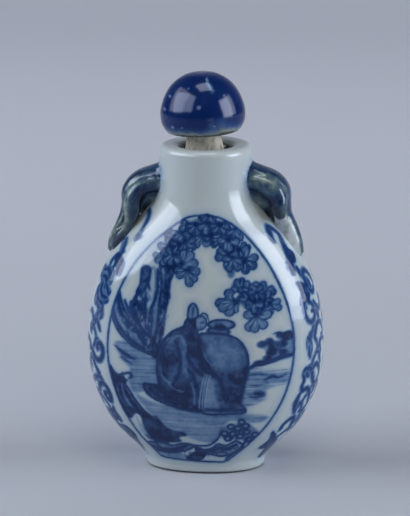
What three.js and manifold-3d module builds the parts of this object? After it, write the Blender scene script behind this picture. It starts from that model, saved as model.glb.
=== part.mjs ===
// A small porcelain snuff bottle: a flattened pear-shaped flask on a low oval foot, with a round neck,
// two moulded scroll handles luted to the neck and shoulder, and a domed stopper on a cork.
// Millimetres, +Z up, front face towards -Y, origin at the centre of the foot's underside.
import * as THREE from 'three';
import Module from 'manifold-3d';
import { mergeVertices } from 'three/addons/utils/BufferGeometryUtils.js';

const wasm = await Module();
wasm.setup();

// ---- Driving dimensions -------------------------------------------------------------------------

const LIP_HEIGHT = 65.5;
const NECK_RADIUS = 9.2;
const BORE_RADIUS = 4.7;
const MOUTH_RADIUS = 5.2;
const FLOOR_HEIGHT = 3.2;
const FOOT_RECESS = { halfWidth: 8.8, halfDepth: 5.9, depth: 0.9 };

// Sections of the flask from the foot to the lip. Each is a rounded oval; squareness 2 is a true ellipse.
const FLASK_STATIONS = [
  { height: 0.0, halfWidth: 11.4, halfDepth: 8.3, squareness: 2.2 },
  { height: 0.4, halfWidth: 11.8, halfDepth: 8.7, squareness: 2.2 },
  { height: 1.9, halfWidth: 12.1, halfDepth: 9.0, squareness: 2.2 },
  { height: 3.1, halfWidth: 12.9, halfDepth: 9.4, squareness: 2.2 },
  { height: 4.8, halfWidth: 14.6, halfDepth: 10.2, squareness: 2.2 },
  { height: 7.6, halfWidth: 17.6, halfDepth: 11.5, squareness: 2.25 },
  { height: 12.5, halfWidth: 20.8, halfDepth: 12.9, squareness: 2.3 },
  { height: 18.2, halfWidth: 22.9, halfDepth: 13.7, squareness: 2.3 },
  { height: 24.8, halfWidth: 23.7, halfDepth: 14.0, squareness: 2.3 },
  { height: 33.0, halfWidth: 23.0, halfDepth: 13.6, squareness: 2.3 },
  { height: 39.2, halfWidth: 21.2, halfDepth: 12.9, squareness: 2.3 },
  { height: 43.5, halfWidth: 18.9, halfDepth: 12.1, squareness: 2.25 },
  { height: 48.3, halfWidth: 15.4, halfDepth: 11.0, squareness: 2.15 },
  { height: 51.8, halfWidth: 12.2, halfDepth: 10.2, squareness: 2.05 },
  { height: 54.6, halfWidth: 10.1, halfDepth: 9.6, squareness: 2.0 },
  { height: 57.5, halfWidth: NECK_RADIUS + 0.1, halfDepth: NECK_RADIUS + 0.1, squareness: 2.0 },
  { height: 62.0, halfWidth: NECK_RADIUS, halfDepth: NECK_RADIUS, squareness: 2.0 },
];
const LIP_ROUNDING = 1.1;

// Sections of the hollow inside, from its floor to the mouth.
const HOLLOW_STATIONS = [
  { height: FLOOR_HEIGHT, halfWidth: 9.4, halfDepth: 6.4, squareness: 2.2 },
  { height: 5.2, halfWidth: 12.2, halfDepth: 7.8, squareness: 2.2 },
  { height: 8.6, halfWidth: 15.6, halfDepth: 9.3, squareness: 2.25 },
  { height: 13.0, halfWidth: 18.3, halfDepth: 10.4, squareness: 2.3 },
  { height: 24.8, halfWidth: 21.1, halfDepth: 11.4, squareness: 2.3 },
  { height: 36.5, halfWidth: 19.3, halfDepth: 10.6, squareness: 2.3 },
  { height: 42.5, halfWidth: 15.8, halfDepth: 9.2, squareness: 2.2 },
  { height: 47.5, halfWidth: 10.6, halfDepth: 7.4, squareness: 2.1 },
  { height: 51.5, halfWidth: 6.2, halfDepth: 5.7, squareness: 2.0 },
  { height: 54.5, halfWidth: BORE_RADIUS, halfDepth: BORE_RADIUS, squareness: 2.0 },
  { height: 63.4, halfWidth: BORE_RADIUS, halfDepth: BORE_RADIUS, squareness: 2.0 },
  { height: 64.6, halfWidth: MOUTH_RADIUS - 0.3, halfDepth: MOUTH_RADIUS - 0.3, squareness: 2.0 },
  { height: LIP_HEIGHT, halfWidth: MOUTH_RADIUS, halfDepth: MOUTH_RADIUS, squareness: 2.0 },
  { height: LIP_HEIGHT + 1, halfWidth: MOUTH_RADIUS + 0.9, halfDepth: MOUTH_RADIUS + 0.9, squareness: 2.0 },
];

// Each bar of a handle follows points [outward, sideways, height] with a half thickness across its bend and
// a half breadth along the depth of the bottle. Outward is away from the axis, on either side. The two were
// pressed and trimmed by hand, so they differ a little.
const RIGHT_HANDLE = {
  arch: [
    { at: [7.4, 0, 59.4], thick: 3.3, broad: 3.6 },
    { at: [10.4, 0, 59.1], thick: 2.35, broad: 3.5 },
    { at: [13.4, 0, 58.1], thick: 2.1, broad: 3.5 },
    { at: [15.0, 0, 56.2], thick: 1.95, broad: 3.4 },
    { at: [15.45, 0, 53.8], thick: 1.6, broad: 3.0 },
    { at: [15.65, 0, 51.3], thick: 1.7, broad: 2.6 },
    { at: [16.6, 0, 48.4], thick: 1.95, broad: 2.4 },
    { at: [17.7, 0, 45.6], thick: 1.75, broad: 2.1 },
    { at: [18.6, 0, 43.4], thick: 1.1, broad: 1.5 },
  ],
  curl: [
    { at: [7.4, 0, 56.0], thick: 1.9, broad: 2.9 },
    { at: [10.3, 0, 55.6], thick: 2.0, broad: 3.0 },
    { at: [12.2, 0, 54.3], thick: 1.8, broad: 2.6 },
    { at: [13.2, 0, 52.8], thick: 1.6, broad: 2.2 },
    { at: [13.7, 0, 51.4], thick: 1.2, broad: 1.8 },
  ],
  ear: [
    { at: [8.8, 2.4, 58.6], thick: 1.6, broad: 1.5 },
    { at: [11.8, 2.9, 58.1], thick: 1.7, broad: 1.6 },
    { at: [13.9, 3.3, 56.9], thick: 1.8, broad: 1.6 },
    { at: [14.8, 3.6, 55.1], thick: 1.75, broad: 1.5 },
    { at: [15.0, 3.8, 53.2], thick: 1.4, broad: 1.4 },
    { at: [15.5, 3.8, 51.5], thick: 0.8, broad: 0.9 },
  ],
};
const LEFT_HANDLE = {
  arch: [
    { at: [7.4, 0, 58.9], thick: 3.3, broad: 3.6 },
    { at: [10.3, 0, 58.7], thick: 2.3, broad: 3.5 },
    { at: [13.1, 0, 57.7], thick: 2.1, broad: 3.5 },
    { at: [14.8, 0, 55.7], thick: 1.95, broad: 3.4 },
    { at: [15.2, 0, 53.4], thick: 1.6, broad: 3.0 },
    { at: [16.0, 0, 50.9], thick: 1.25, broad: 2.6 },
    { at: [17.1, 0, 48.3], thick: 1.15, broad: 2.4 },
    { at: [18.2, 0, 45.8], thick: 1.2, broad: 2.2 },
    { at: [18.9, 0, 43.6], thick: 0.8, broad: 1.6 },
  ],
  curl: [
    { at: [7.4, 0, 56.0], thick: 1.8, broad: 2.9 },
    { at: [9.9, 0, 55.8], thick: 1.7, broad: 3.0 },
    { at: [11.7, 0, 54.7], thick: 1.6, broad: 2.6 },
    { at: [12.6, 0, 53.2], thick: 1.3, broad: 2.2 },
    { at: [12.8, 0, 51.8], thick: 1.0, broad: 1.8 },
  ],
  ear: [
    { at: [8.8, 2.4, 57.9], thick: 1.6, broad: 1.5 },
    { at: [11.6, 2.9, 57.5], thick: 1.6, broad: 1.6 },
    { at: [13.4, 3.4, 56.3], thick: 1.6, broad: 1.6 },
    { at: [14.2, 3.8, 54.5], thick: 1.55, broad: 1.5 },
    { at: [14.3, 3.9, 52.4], thick: 1.5, broad: 1.4 },
    { at: [14.7, 3.8, 50.5], thick: 1.1, broad: 1.2 },
    { at: [15.4, 3.5, 48.8], thick: 1.0, broad: 1.1 },
    { at: [16.7, 3.0, 46.8], thick: 1.3, broad: 1.3 },
    { at: [18.0, 2.2, 44.6], thick: 1.0, broad: 1.1 },
  ],
};

const STOPPER_LEAN = THREE.MathUtils.degToRad(2.6);
const STOPPER_PIVOT = 59.0;
const CAP_BASE = 68.0;
const CAP_HEIGHT = 11.8;
const CAP_RADIUS = 8.45;
const CAP_WIDEST = 3.4;
const CAP_BASE_RADIUS = 7.0;
const SOCKET_RADIUS = 4.25;
const SOCKET_DEPTH = 1.1;
const CORK_CLEARANCE = 0.3;
const CORK_FOOT = 55.6;

const FLASK_SIDES = 56;
const HOLLOW_SIDES = 28;
const BAR_SIDES = 10;
const BAR_STEPS = 2;
const TURNED_SIDES = 32;

// ---- Shapes -------------------------------------------------------------------------------------

// A closed surface over rings of equal point counts, each counter-clockwise about the way they follow.
function loft(rings) {
  const sides = rings[0].length;
  const positions = [];
  const indices = [];
  for (const ring of rings) for (const point of ring) positions.push(point.x, point.y, point.z);
  for (let k = 0; k + 1 < rings.length; k++) {
    for (let j = 0; j < sides; j++) {
      const next = (j + 1) % sides;
      const a = k * sides + j;
      const b = k * sides + next;
      indices.push(a, b, b + sides, a, b + sides, a + sides);
    }
  }
  const close = (first, facesBack) => {
    const centre = new THREE.Vector3();
    for (let j = 0; j < sides; j++) {
      const point = new THREE.Vector3().fromArray(positions, (first + j) * 3);
      centre.addScaledVector(point, 1 / sides);
    }
    const hub = positions.length / 3;
    positions.push(centre.x, centre.y, centre.z);
    for (let j = 0; j < sides; j++) {
      const here = first + j;
      const next = first + ((j + 1) % sides);
      indices.push(hub, facesBack ? next : here, facesBack ? here : next);
    }
  };
  close(0, true);
  close((rings.length - 1) * sides, false);
  const geometry = new THREE.BufferGeometry();
  geometry.setAttribute('position', new THREE.Float32BufferAttribute(positions, 3));
  geometry.setIndex(indices);
  return geometry;
}

// One point of a superellipse: squareness 2 is an ellipse, and more is nearer a rectangle.
function ovalPoint(angle, halfWidth, halfDepth, squareness) {
  const cos = Math.cos(angle);
  const sin = Math.sin(angle);
  const x = Math.sign(cos) * halfWidth * Math.abs(cos) ** (2 / squareness);
  const y = Math.sign(sin) * halfDepth * Math.abs(sin) ** (2 / squareness);
  return new THREE.Vector2(x, y);
}

// Level oval rings along a smooth curve through the stations, closest together where the curve bends.
function ovalRings(stations, sides, stepsPerSpan) {
  const curve = new THREE.CatmullRomCurve3(
    stations.map((s) => new THREE.Vector3(s.halfWidth, s.halfDepth, s.height)),
  );
  const spans = stations.length - 1;
  const count = spans * stepsPerSpan;
  return Array.from({ length: count + 1 }, (_, k) => {
    const along = k / stepsPerSpan;
    const span = Math.min(Math.floor(along), spans - 1);
    const squareness = THREE.MathUtils.lerp(
      stations[span].squareness,
      stations[span + 1].squareness,
      along - span,
    );
    const size = curve.getPoint(k / count);
    return Array.from({ length: sides }, (_unused, j) => {
      const flat = ovalPoint((j / sides) * 2 * Math.PI, size.x, size.y, squareness);
      return new THREE.Vector3(flat.x, flat.y, size.z);
    });
  });
}

// A rounded bar along a curve, with half round ends.
function bar(points, mirrorDepth = 1) {
  const curve = new THREE.CatmullRomCurve3(
    points.map((p) => new THREE.Vector3(p.at[0], p.at[1] * mirrorDepth, p.at[2])),
  );
  const spans = points.length - 1;
  const count = spans * BAR_STEPS;
  const across = new THREE.Vector3(0, 1, 0);
  const ringAt = (share, scale, push) => {
    const along = share * spans;
    const span = Math.min(Math.floor(along), spans - 1);
    const thick = THREE.MathUtils.lerp(points[span].thick, points[span + 1].thick, along - span);
    const broad = THREE.MathUtils.lerp(points[span].broad, points[span + 1].broad, along - span);
    const tangent = curve.getTangent(share);
    const sideways = across.clone().addScaledVector(tangent, -across.dot(tangent)).normalize();
    const outward = new THREE.Vector3().crossVectors(sideways, tangent);
    const centre = curve.getPoint(share).addScaledVector(tangent, push * thick);
    return Array.from({ length: BAR_SIDES }, (_, j) => {
      const flat = ovalPoint(((j + 0.5) / BAR_SIDES) * 2 * Math.PI, thick * scale, broad * scale, 2.4);
      return centre.clone().addScaledVector(outward, flat.x).addScaledVector(sideways, flat.y);
    });
  };
  const rings = [];
  rings.push(ringAt(0, 0.6, -0.6));
  for (let k = 0; k <= count; k++) rings.push(ringAt(k / count, 1, 0));
  rings.push(ringAt(1, 0.6, 0.6));
  return loft(rings);
}

function toSolid(geometry) {
  const bare = geometry.clone();
  bare.deleteAttribute('normal');
  bare.deleteAttribute('uv');
  const merged = mergeVertices(bare, 1e-4);
  return new wasm.Manifold(
    new wasm.Mesh({
      numProp: 3,
      vertProperties: new Float32Array(merged.attributes.position.array),
      triVerts: new Uint32Array(merged.index.array),
    }),
  );
}

function toGeometry(solid) {
  const mesh = solid.getMesh();
  const geometry = new THREE.BufferGeometry();
  geometry.setAttribute('position', new THREE.BufferAttribute(mesh.vertProperties, 3));
  geometry.setIndex(new THREE.BufferAttribute(mesh.triVerts, 1));
  const flat = geometry.toNonIndexed();
  flat.computeVertexNormals();
  return flat;
}

// ---- Pieces -------------------------------------------------------------------------------------

// The wall of the flask and neck, rounded over at the lip.
function flaskBody() {
  const rings = ovalRings(FLASK_STATIONS, FLASK_SIDES, 2);
  const lipSteps = 4;
  for (let k = 0; k <= lipSteps; k++) {
    const turn = (k / lipSteps) * (Math.PI / 2);
    const radius = NECK_RADIUS + 0.1 - LIP_ROUNDING * (1 - Math.cos(turn));
    const height = LIP_HEIGHT - LIP_ROUNDING * (1 - Math.sin(turn));
    rings.push(
      Array.from({ length: FLASK_SIDES }, (_, j) => {
        const flat = ovalPoint((j / FLASK_SIDES) * 2 * Math.PI, radius, radius, 2);
        return new THREE.Vector3(flat.x, flat.y, height);
      }),
    );
  }
  return loft(rings);
}

// The oval hollow under the foot, which leaves a foot ring to stand on.
function footRecess() {
  const { halfWidth, halfDepth, depth } = FOOT_RECESS;
  return loft(
    [-1, depth].map((height) =>
      Array.from({ length: HOLLOW_SIDES }, (_, j) => {
        const flat = ovalPoint((j / HOLLOW_SIDES) * 2 * Math.PI, halfWidth, halfDepth, 2.2);
        return new THREE.Vector3(flat.x, flat.y, height);
      }),
    ),
  );
}

// A handle on the +X side: a head arched out from the neck, its trunk down the shoulder, a curl under it,
// and an ear lobe in front and behind.
function handleSolid({ arch, curl, ear }) {
  const bars = [bar(arch), bar(curl), bar(ear), bar(ear, -1)];
  return bars.map(toSolid).reduce((whole, next) => whole.add(next));
}

// Flask, neck and handles are fired as one piece.
function bottleGeometry() {
  const right = handleSolid(RIGHT_HANDLE);
  const left = handleSolid(LEFT_HANDLE).rotate([0, 0, 180]);
  const hollow = toSolid(loft(ovalRings(HOLLOW_STATIONS, HOLLOW_SIDES, 2)));
  const solid = toSolid(flaskBody())
    .add(right)
    .add(left)
    .subtract(hollow)
    .subtract(toSolid(footRecess()));
  return toGeometry(solid);
}

// The dome of the stopper, with a flat underside and a socket for the cork.
function capGeometry() {
  const profile = new THREE.Path();
  const crown = CAP_HEIGHT - CAP_WIDEST;
  profile.moveTo(0, SOCKET_DEPTH);
  profile.lineTo(SOCKET_RADIUS, SOCKET_DEPTH);
  profile.lineTo(SOCKET_RADIUS, 0);
  profile.lineTo(CAP_BASE_RADIUS, 0);
  profile.bezierCurveTo(CAP_BASE_RADIUS + 1.1, 0.3, CAP_RADIUS, CAP_WIDEST - 1.9, CAP_RADIUS, CAP_WIDEST);
  profile.bezierCurveTo(CAP_RADIUS, CAP_WIDEST + 0.56 * crown, 0.6 * CAP_RADIUS, CAP_HEIGHT, 0, CAP_HEIGHT);
  return turned(profile.getPoints(8));
}

// The cork: gripped in the cap's socket, waisted where it shows, and tapered to fit the bore.
function corkGeometry() {
  const top = CAP_BASE + SOCKET_DEPTH - CORK_CLEARANCE - CORK_FOOT;
  const outline = [
    [0, 0],
    [3.6, 0],
    [3.85, 0.5],
    [4.2, 6.2],
    [4.05, 8.4],
    [3.45, 11.0],
    [3.85, 12.4],
    [SOCKET_RADIUS - CORK_CLEARANCE, top - 0.6],
    [SOCKET_RADIUS - CORK_CLEARANCE, top],
    [0, top],
  ];
  return turned(outline.map(([radius, height]) => new THREE.Vector2(radius, height)));
}

// A lathe turns a profile about Y, so it is stood up to turn about Z.
function turned(points) {
  return new THREE.LatheGeometry(points, TURNED_SIDES).rotateX(Math.PI / 2);
}

// ---- The object ---------------------------------------------------------------------------------

const porcelain = new THREE.MeshStandardMaterial({ color: 0xc9d2d4, roughness: 0.12, metalness: 0 });
const blueGlaze = new THREE.MeshStandardMaterial({ color: 0x12205e, roughness: 0.1, metalness: 0 });
const corkBark = new THREE.MeshStandardMaterial({ color: 0xa59c86, roughness: 0.9, metalness: 0 });

const bottle = new THREE.Mesh(bottleGeometry(), porcelain);
bottle.name = 'bottle';

const cap = new THREE.Mesh(capGeometry(), blueGlaze);
cap.name = 'stopper_cap';
cap.position.z = CAP_BASE - STOPPER_PIVOT;

const cork = new THREE.Mesh(corkGeometry(), corkBark);
cork.name = 'stopper_cork';
cork.position.z = CORK_FOOT - STOPPER_PIVOT;

// The stopper stands a little askew in the mouth.
const stopper = new THREE.Group();
stopper.position.z = STOPPER_PIVOT;
stopper.rotation.y = -STOPPER_LEAN;
stopper.add(cap, cork);

const snuffBottle = new THREE.Group();
snuffBottle.add(bottle, stopper);

export default snuffBottle;
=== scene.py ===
import math

import bpy
import numpy as np
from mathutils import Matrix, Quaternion, Vector
from mathutils.bvhtree import BVHTree


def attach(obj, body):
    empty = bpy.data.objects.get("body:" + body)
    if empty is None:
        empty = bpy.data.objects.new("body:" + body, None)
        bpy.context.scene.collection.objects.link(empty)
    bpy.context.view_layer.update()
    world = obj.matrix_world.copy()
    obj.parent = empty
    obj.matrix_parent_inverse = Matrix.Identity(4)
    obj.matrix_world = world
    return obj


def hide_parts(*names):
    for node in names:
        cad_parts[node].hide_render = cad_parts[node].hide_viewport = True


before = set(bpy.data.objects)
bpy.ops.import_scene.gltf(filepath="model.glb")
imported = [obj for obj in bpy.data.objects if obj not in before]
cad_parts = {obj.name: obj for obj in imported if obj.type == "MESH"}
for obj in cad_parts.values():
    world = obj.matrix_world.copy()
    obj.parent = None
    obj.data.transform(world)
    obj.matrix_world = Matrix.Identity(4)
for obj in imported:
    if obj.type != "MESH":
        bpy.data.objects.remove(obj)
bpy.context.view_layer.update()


# ---- The view -----------------------------------------------------------------------------------
# A long lens, a little above the bottle's middle and a little to its right.

VIEW_TURN = math.radians(6.0)
VIEW_RISE = math.radians(13.5)
VIEW_DISTANCE = 0.70
VIEW_HEIGHT_SHOWN = 0.1028
VIEW_AIM = Vector((-0.00014, 0.0, 0.0422))
SENSOR_HEIGHT_MM = 24.0

camera_data = bpy.data.cameras.new("view")
camera_data.sensor_fit = "VERTICAL"
camera_data.sensor_height = SENSOR_HEIGHT_MM
camera_data.lens = SENSOR_HEIGHT_MM * VIEW_DISTANCE / VIEW_HEIGHT_SHOWN
camera_data.clip_start = 0.02
camera = bpy.data.objects.new("view", camera_data)
towards_camera = Vector((
    math.sin(VIEW_TURN) * math.cos(VIEW_RISE),
    -math.cos(VIEW_TURN) * math.cos(VIEW_RISE),
    math.sin(VIEW_RISE),
))
camera.location = VIEW_AIM + towards_camera * VIEW_DISTANCE
camera.rotation_euler = (-towards_camera).to_track_quat("-Z", "Y").to_euler()
bpy.context.scene.collection.objects.link(camera)
bpy.context.scene.camera = camera


# ---- The flask ----------------------------------------------------------------------------------
# One thin-walled porcelain body, press-moulded in two halves and luted along its narrow sides, with a
# thrown-looking round neck and a low oval foot. It is glazed all over but for the foot ring it stands on.

MM = 0.001
# Height, half width, half depth and squareness of the outside, in millimetres; squareness 2 is an ellipse.
FLASK_SECTIONS = np.array([
    (0.00, 11.40, 8.30, 2.20),
    (0.40, 11.85, 8.75, 2.20),
    (1.90, 12.10, 9.00, 2.20),
    (3.10, 12.90, 9.40, 2.20),
    (4.80, 14.60, 10.20, 2.20),
    (7.60, 17.60, 11.50, 2.25),
    (12.50, 20.80, 12.90, 2.30),
    (18.20, 22.90, 13.70, 2.30),
    (24.80, 23.70, 14.00, 2.30),
    (33.00, 23.00, 13.60, 2.30),
    (39.20, 21.20, 12.90, 2.30),
    (43.50, 18.90, 12.10, 2.25),
    (48.30, 15.40, 11.00, 2.15),
    (51.80, 12.20, 10.20, 2.05),
    (54.60, 10.10, 9.60, 2.00),
    (57.50, 9.30, 9.30, 2.00),
    (62.00, 9.20, 9.20, 2.00),
    (65.50, 9.20, 9.20, 2.00),
])
# Height, half width and half depth of the hollow, from the mouth down to its floor.
HOLLOW_SECTIONS = np.array([
    (65.50, 5.20, 5.20),
    (64.60, 4.90, 4.90),
    (63.40, 4.70, 4.70),
    (54.50, 4.70, 4.70),
    (51.50, 6.20, 5.70),
    (47.50, 10.60, 7.40),
    (42.50, 15.80, 9.20),
    (36.50, 19.30, 10.60),
    (24.80, 21.10, 11.40),
    (13.00, 18.30, 10.40),
    (8.60, 15.60, 9.30),
    (5.20, 12.20, 7.80),
    (3.20, 9.40, 6.40),
])
WIDEST_HEIGHT = 24.8
NECK_RADIUS = 9.2
LIP_HEIGHT = 65.5
LIP_ROUNDING = 1.15
# Radius and drop below the lip of the rings that turn from the lip's flat top into the mouth.
MOUTH_RINGS = (
    (7.2, 0.01), (6.6, 0.04), (6.1, 0.12), (5.7, 0.26), (5.4, 0.46), (5.15, 0.75), (4.95, 1.15), (4.8, 1.7),
    (4.7, 2.4), (4.7, 4.0),
)
FOOT_RECESS_WIDTH = 8.8
FOOT_RECESS_DEPTH = 5.9
FOOT_RECESS_HEIGHT = 0.9
FOOT_EDGE = 0.25
RECESS_SQUARENESS = 2.2


def spline_through(places, values):
    """A smooth curve with no kink in its bend, through every value at its place, as a function."""
    gap = np.diff(places)
    slope = np.diff(values, axis=0) / gap[:, None]
    count = len(places)
    system = np.eye(count)
    right = np.zeros_like(values)
    for k in range(1, count - 1):
        system[k, k - 1 : k + 2] = gap[k - 1], 2 * (gap[k - 1] + gap[k]), gap[k]
        right[k] = 6 * (slope[k] - slope[k - 1])
    bend = np.linalg.solve(system, right)

    def at(where):
        k = np.clip(np.searchsorted(places, where) - 1, 0, count - 2)
        a = (places[k + 1] - where)[:, None]
        b = (where - places[k])[:, None]
        h = gap[k][:, None]
        curved = (bend[k] * a**3 + bend[k + 1] * b**3) / (6 * h)
        straight = (values[k] / h - bend[k] * h / 6) * a + (values[k + 1] / h - bend[k + 1] * h / 6) * b
        return curved + straight

    return at


def sections_by_height(sections):
    """The sections' sizes as a smooth function of height, whichever way the heights run."""
    steps = np.linalg.norm(np.diff(sections[:, :3], axis=0), axis=1)
    places = np.concatenate([[0], np.cumsum(np.sqrt(steps))])
    fine = np.linspace(0, places[-1], 4000)
    table = spline_through(places, sections)(fine)
    heights, *columns = table[np.argsort(table[:, 0])].T
    return lambda z: np.stack([np.interp(z, heights, column) for column in columns], -1)


flask_size = sections_by_height(FLASK_SECTIONS)
hollow_size = sections_by_height(HOLLOW_SECTIONS)


def oval(turn, half_width, half_depth, squareness):
    """Points of a softly squared oval at the given turns."""
    fullness = 2 ** (0.5 - 1 / squareness) - 1
    swell = 1 + fullness * np.sin(2 * turn) ** 2
    return half_width * np.cos(turn) * swell, half_depth * np.sin(turn) * swell


# Columns run round the flask from its +X side, closest together over the painted front, in millimetres apart.
PANEL_HALF_WIDTH = 19.4
FRONT_SPACING = 0.245
SIDE_SPACING = 0.40
BACK_SPACING = 0.44


def column_turns():
    """The turn of each column, spaced by distance round the widest ring."""
    fine = np.linspace(0, 2 * np.pi, 20001)
    x, y = oval(fine, *flask_size(np.array([WIDEST_HEIGHT]))[0])
    length = np.hypot(np.diff(x), np.diff(y))
    middle_x, middle_y = (x[1:] + x[:-1]) / 2, (y[1:] + y[:-1]) / 2
    in_panel = np.abs(middle_x) < PANEL_HALF_WIDTH
    spacing = np.where(in_panel, np.where(middle_y < 0, FRONT_SPACING, BACK_SPACING), SIDE_SPACING)
    share = np.concatenate([[0], np.cumsum(length / spacing)])
    count = 4 * round(share[-1] / 4)
    return np.interp(np.arange(count) * share[-1] / count, share, fine)


turns = column_turns()
COLUMNS = len(turns)

ROW_SPACING = 0.25
outside_heights = np.concatenate([
    np.array([0.0, 0.1, 0.25, 0.5, 0.8, 1.2, 1.6, 2.0]),
    np.arange(2.0 + ROW_SPACING, 53.8, ROW_SPACING),
    np.arange(54.0, LIP_HEIGHT - LIP_ROUNDING, 0.55),
])


def ring(height, sizes):
    """One ring of points round the flask."""
    x, y = oval(turns, *sizes)
    return np.stack([x, y, np.full(COLUMNS, height)], -1)


def flask_rings():
    """Rings from the foot's recess, round the foot ring, up the outside, over the lip and into the mouth."""
    rings = []
    for height, outset in (
        (FOOT_RECESS_HEIGHT, 0), (FOOT_EDGE, 0), (FOOT_EDGE * 0.3, FOOT_EDGE * 0.3), (0, FOOT_EDGE)
    ):
        sizes = FOOT_RECESS_WIDTH + outset, FOOT_RECESS_DEPTH + outset, RECESS_SQUARENESS
        rings.append(ring(height, sizes))
    for height, sizes in zip(outside_heights, flask_size(outside_heights)):
        rings.append(ring(height, sizes))
    for swing in np.linspace(0, math.pi / 2, 9):
        radius = NECK_RADIUS - LIP_ROUNDING * (1 - math.cos(swing))
        rings.append(ring(LIP_HEIGHT - LIP_ROUNDING * (1 - math.sin(swing)), (radius, radius, 2)))
    for radius, drop in MOUTH_RINGS:
        rings.append(ring(LIP_HEIGHT - drop, (radius, radius, 2)))
    return rings


def grid_faces(row_count, columns):
    """Four-sided faces between rows of points that close on themselves."""
    row, column = np.meshgrid(np.arange(row_count - 1), np.arange(columns), indexing="ij")
    following = (column + 1) % columns
    a = row * columns + column
    b = row * columns + following
    return np.stack([a, b, b + columns, a + columns], -1).reshape(-1, 4)


HOLLOW_COLUMNS_EACH = 4
HOLLOW_HEIGHTS = np.array([58.5, 54.5, 52.5, 50.5, 48, 45, 41, 36, 30, 24.8, 19, 13.5, 9.5, 6.5, 4.4, 3.4])
HOLLOW_FLOOR = 3.2
HOLLOW_NECK_FROM = 50


def flask_mesh():
    """Vertices in millimetres and faces of the closed shell; its hollow has fewer, wider columns."""
    rings = flask_rings()
    vertices = np.concatenate(rings)
    faces = [tuple(f) for f in grid_faces(len(rings), COLUMNS)]
    hub = len(vertices)
    vertices = np.concatenate([vertices, [[0, 0, FOOT_RECESS_HEIGHT]]])
    faces += [(hub, (j + 1) % COLUMNS, j) for j in range(COLUMNS)]

    coarse_turns = turns[::HOLLOW_COLUMNS_EACH]
    coarse = len(coarse_turns)
    start = len(vertices)
    inner = []
    for height, (half_width, half_depth) in zip(HOLLOW_HEIGHTS, hollow_size(HOLLOW_HEIGHTS)):
        x, y = oval(coarse_turns, half_width, half_depth, 2.2 if height < HOLLOW_NECK_FROM else 2.0)
        inner.append(np.stack([x, y, np.full(coarse, height)], -1))
    vertices = np.concatenate([vertices, *inner, [[0, 0, HOLLOW_FLOOR]]])
    last_fine = (len(rings) - 1) * COLUMNS
    for j in range(coarse):
        fine = [last_fine + (j * HOLLOW_COLUMNS_EACH + k) % COLUMNS for k in range(HOLLOW_COLUMNS_EACH + 1)]
        faces.append((*fine, start + (j + 1) % coarse, start + j))
    faces += [tuple(f) for f in grid_faces(len(inner), coarse) + start]
    floor_hub = len(vertices) - 1
    last = start + (len(inner) - 1) * coarse
    faces += [(last + j, last + (j + 1) % coarse, floor_hub) for j in range(coarse)]
    return vertices, faces, len(rings)


def add_object(name, points, faces=(), edges=()):
    """Adds a smooth mesh object to the scene."""
    mesh = bpy.data.meshes.new(name)
    mesh.from_pydata([tuple(p) for p in points], list(edges), list(faces))
    mesh.validate()
    mesh.shade_smooth()
    obj = bpy.data.objects.new(name, mesh)
    bpy.context.scene.collection.objects.link(obj)
    return obj


flask_points, flask_faces, flask_ring_count = flask_mesh()
outer_count = flask_ring_count * COLUMNS
flask = add_object("bottle_flask", flask_points * MM, flask_faces)

# The painting is brushed in cobalt on the dry clay and glazed over: dark outlines, and washes of thinned
# cobalt. A pointed frame with a flat foot holds a picture on each broad face, and scrolls fill the sides.
NO_LINE_NEAR = 2.0
LOADED_BRUSH = 0.92
LIFTED_EDGE = 0.12


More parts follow.
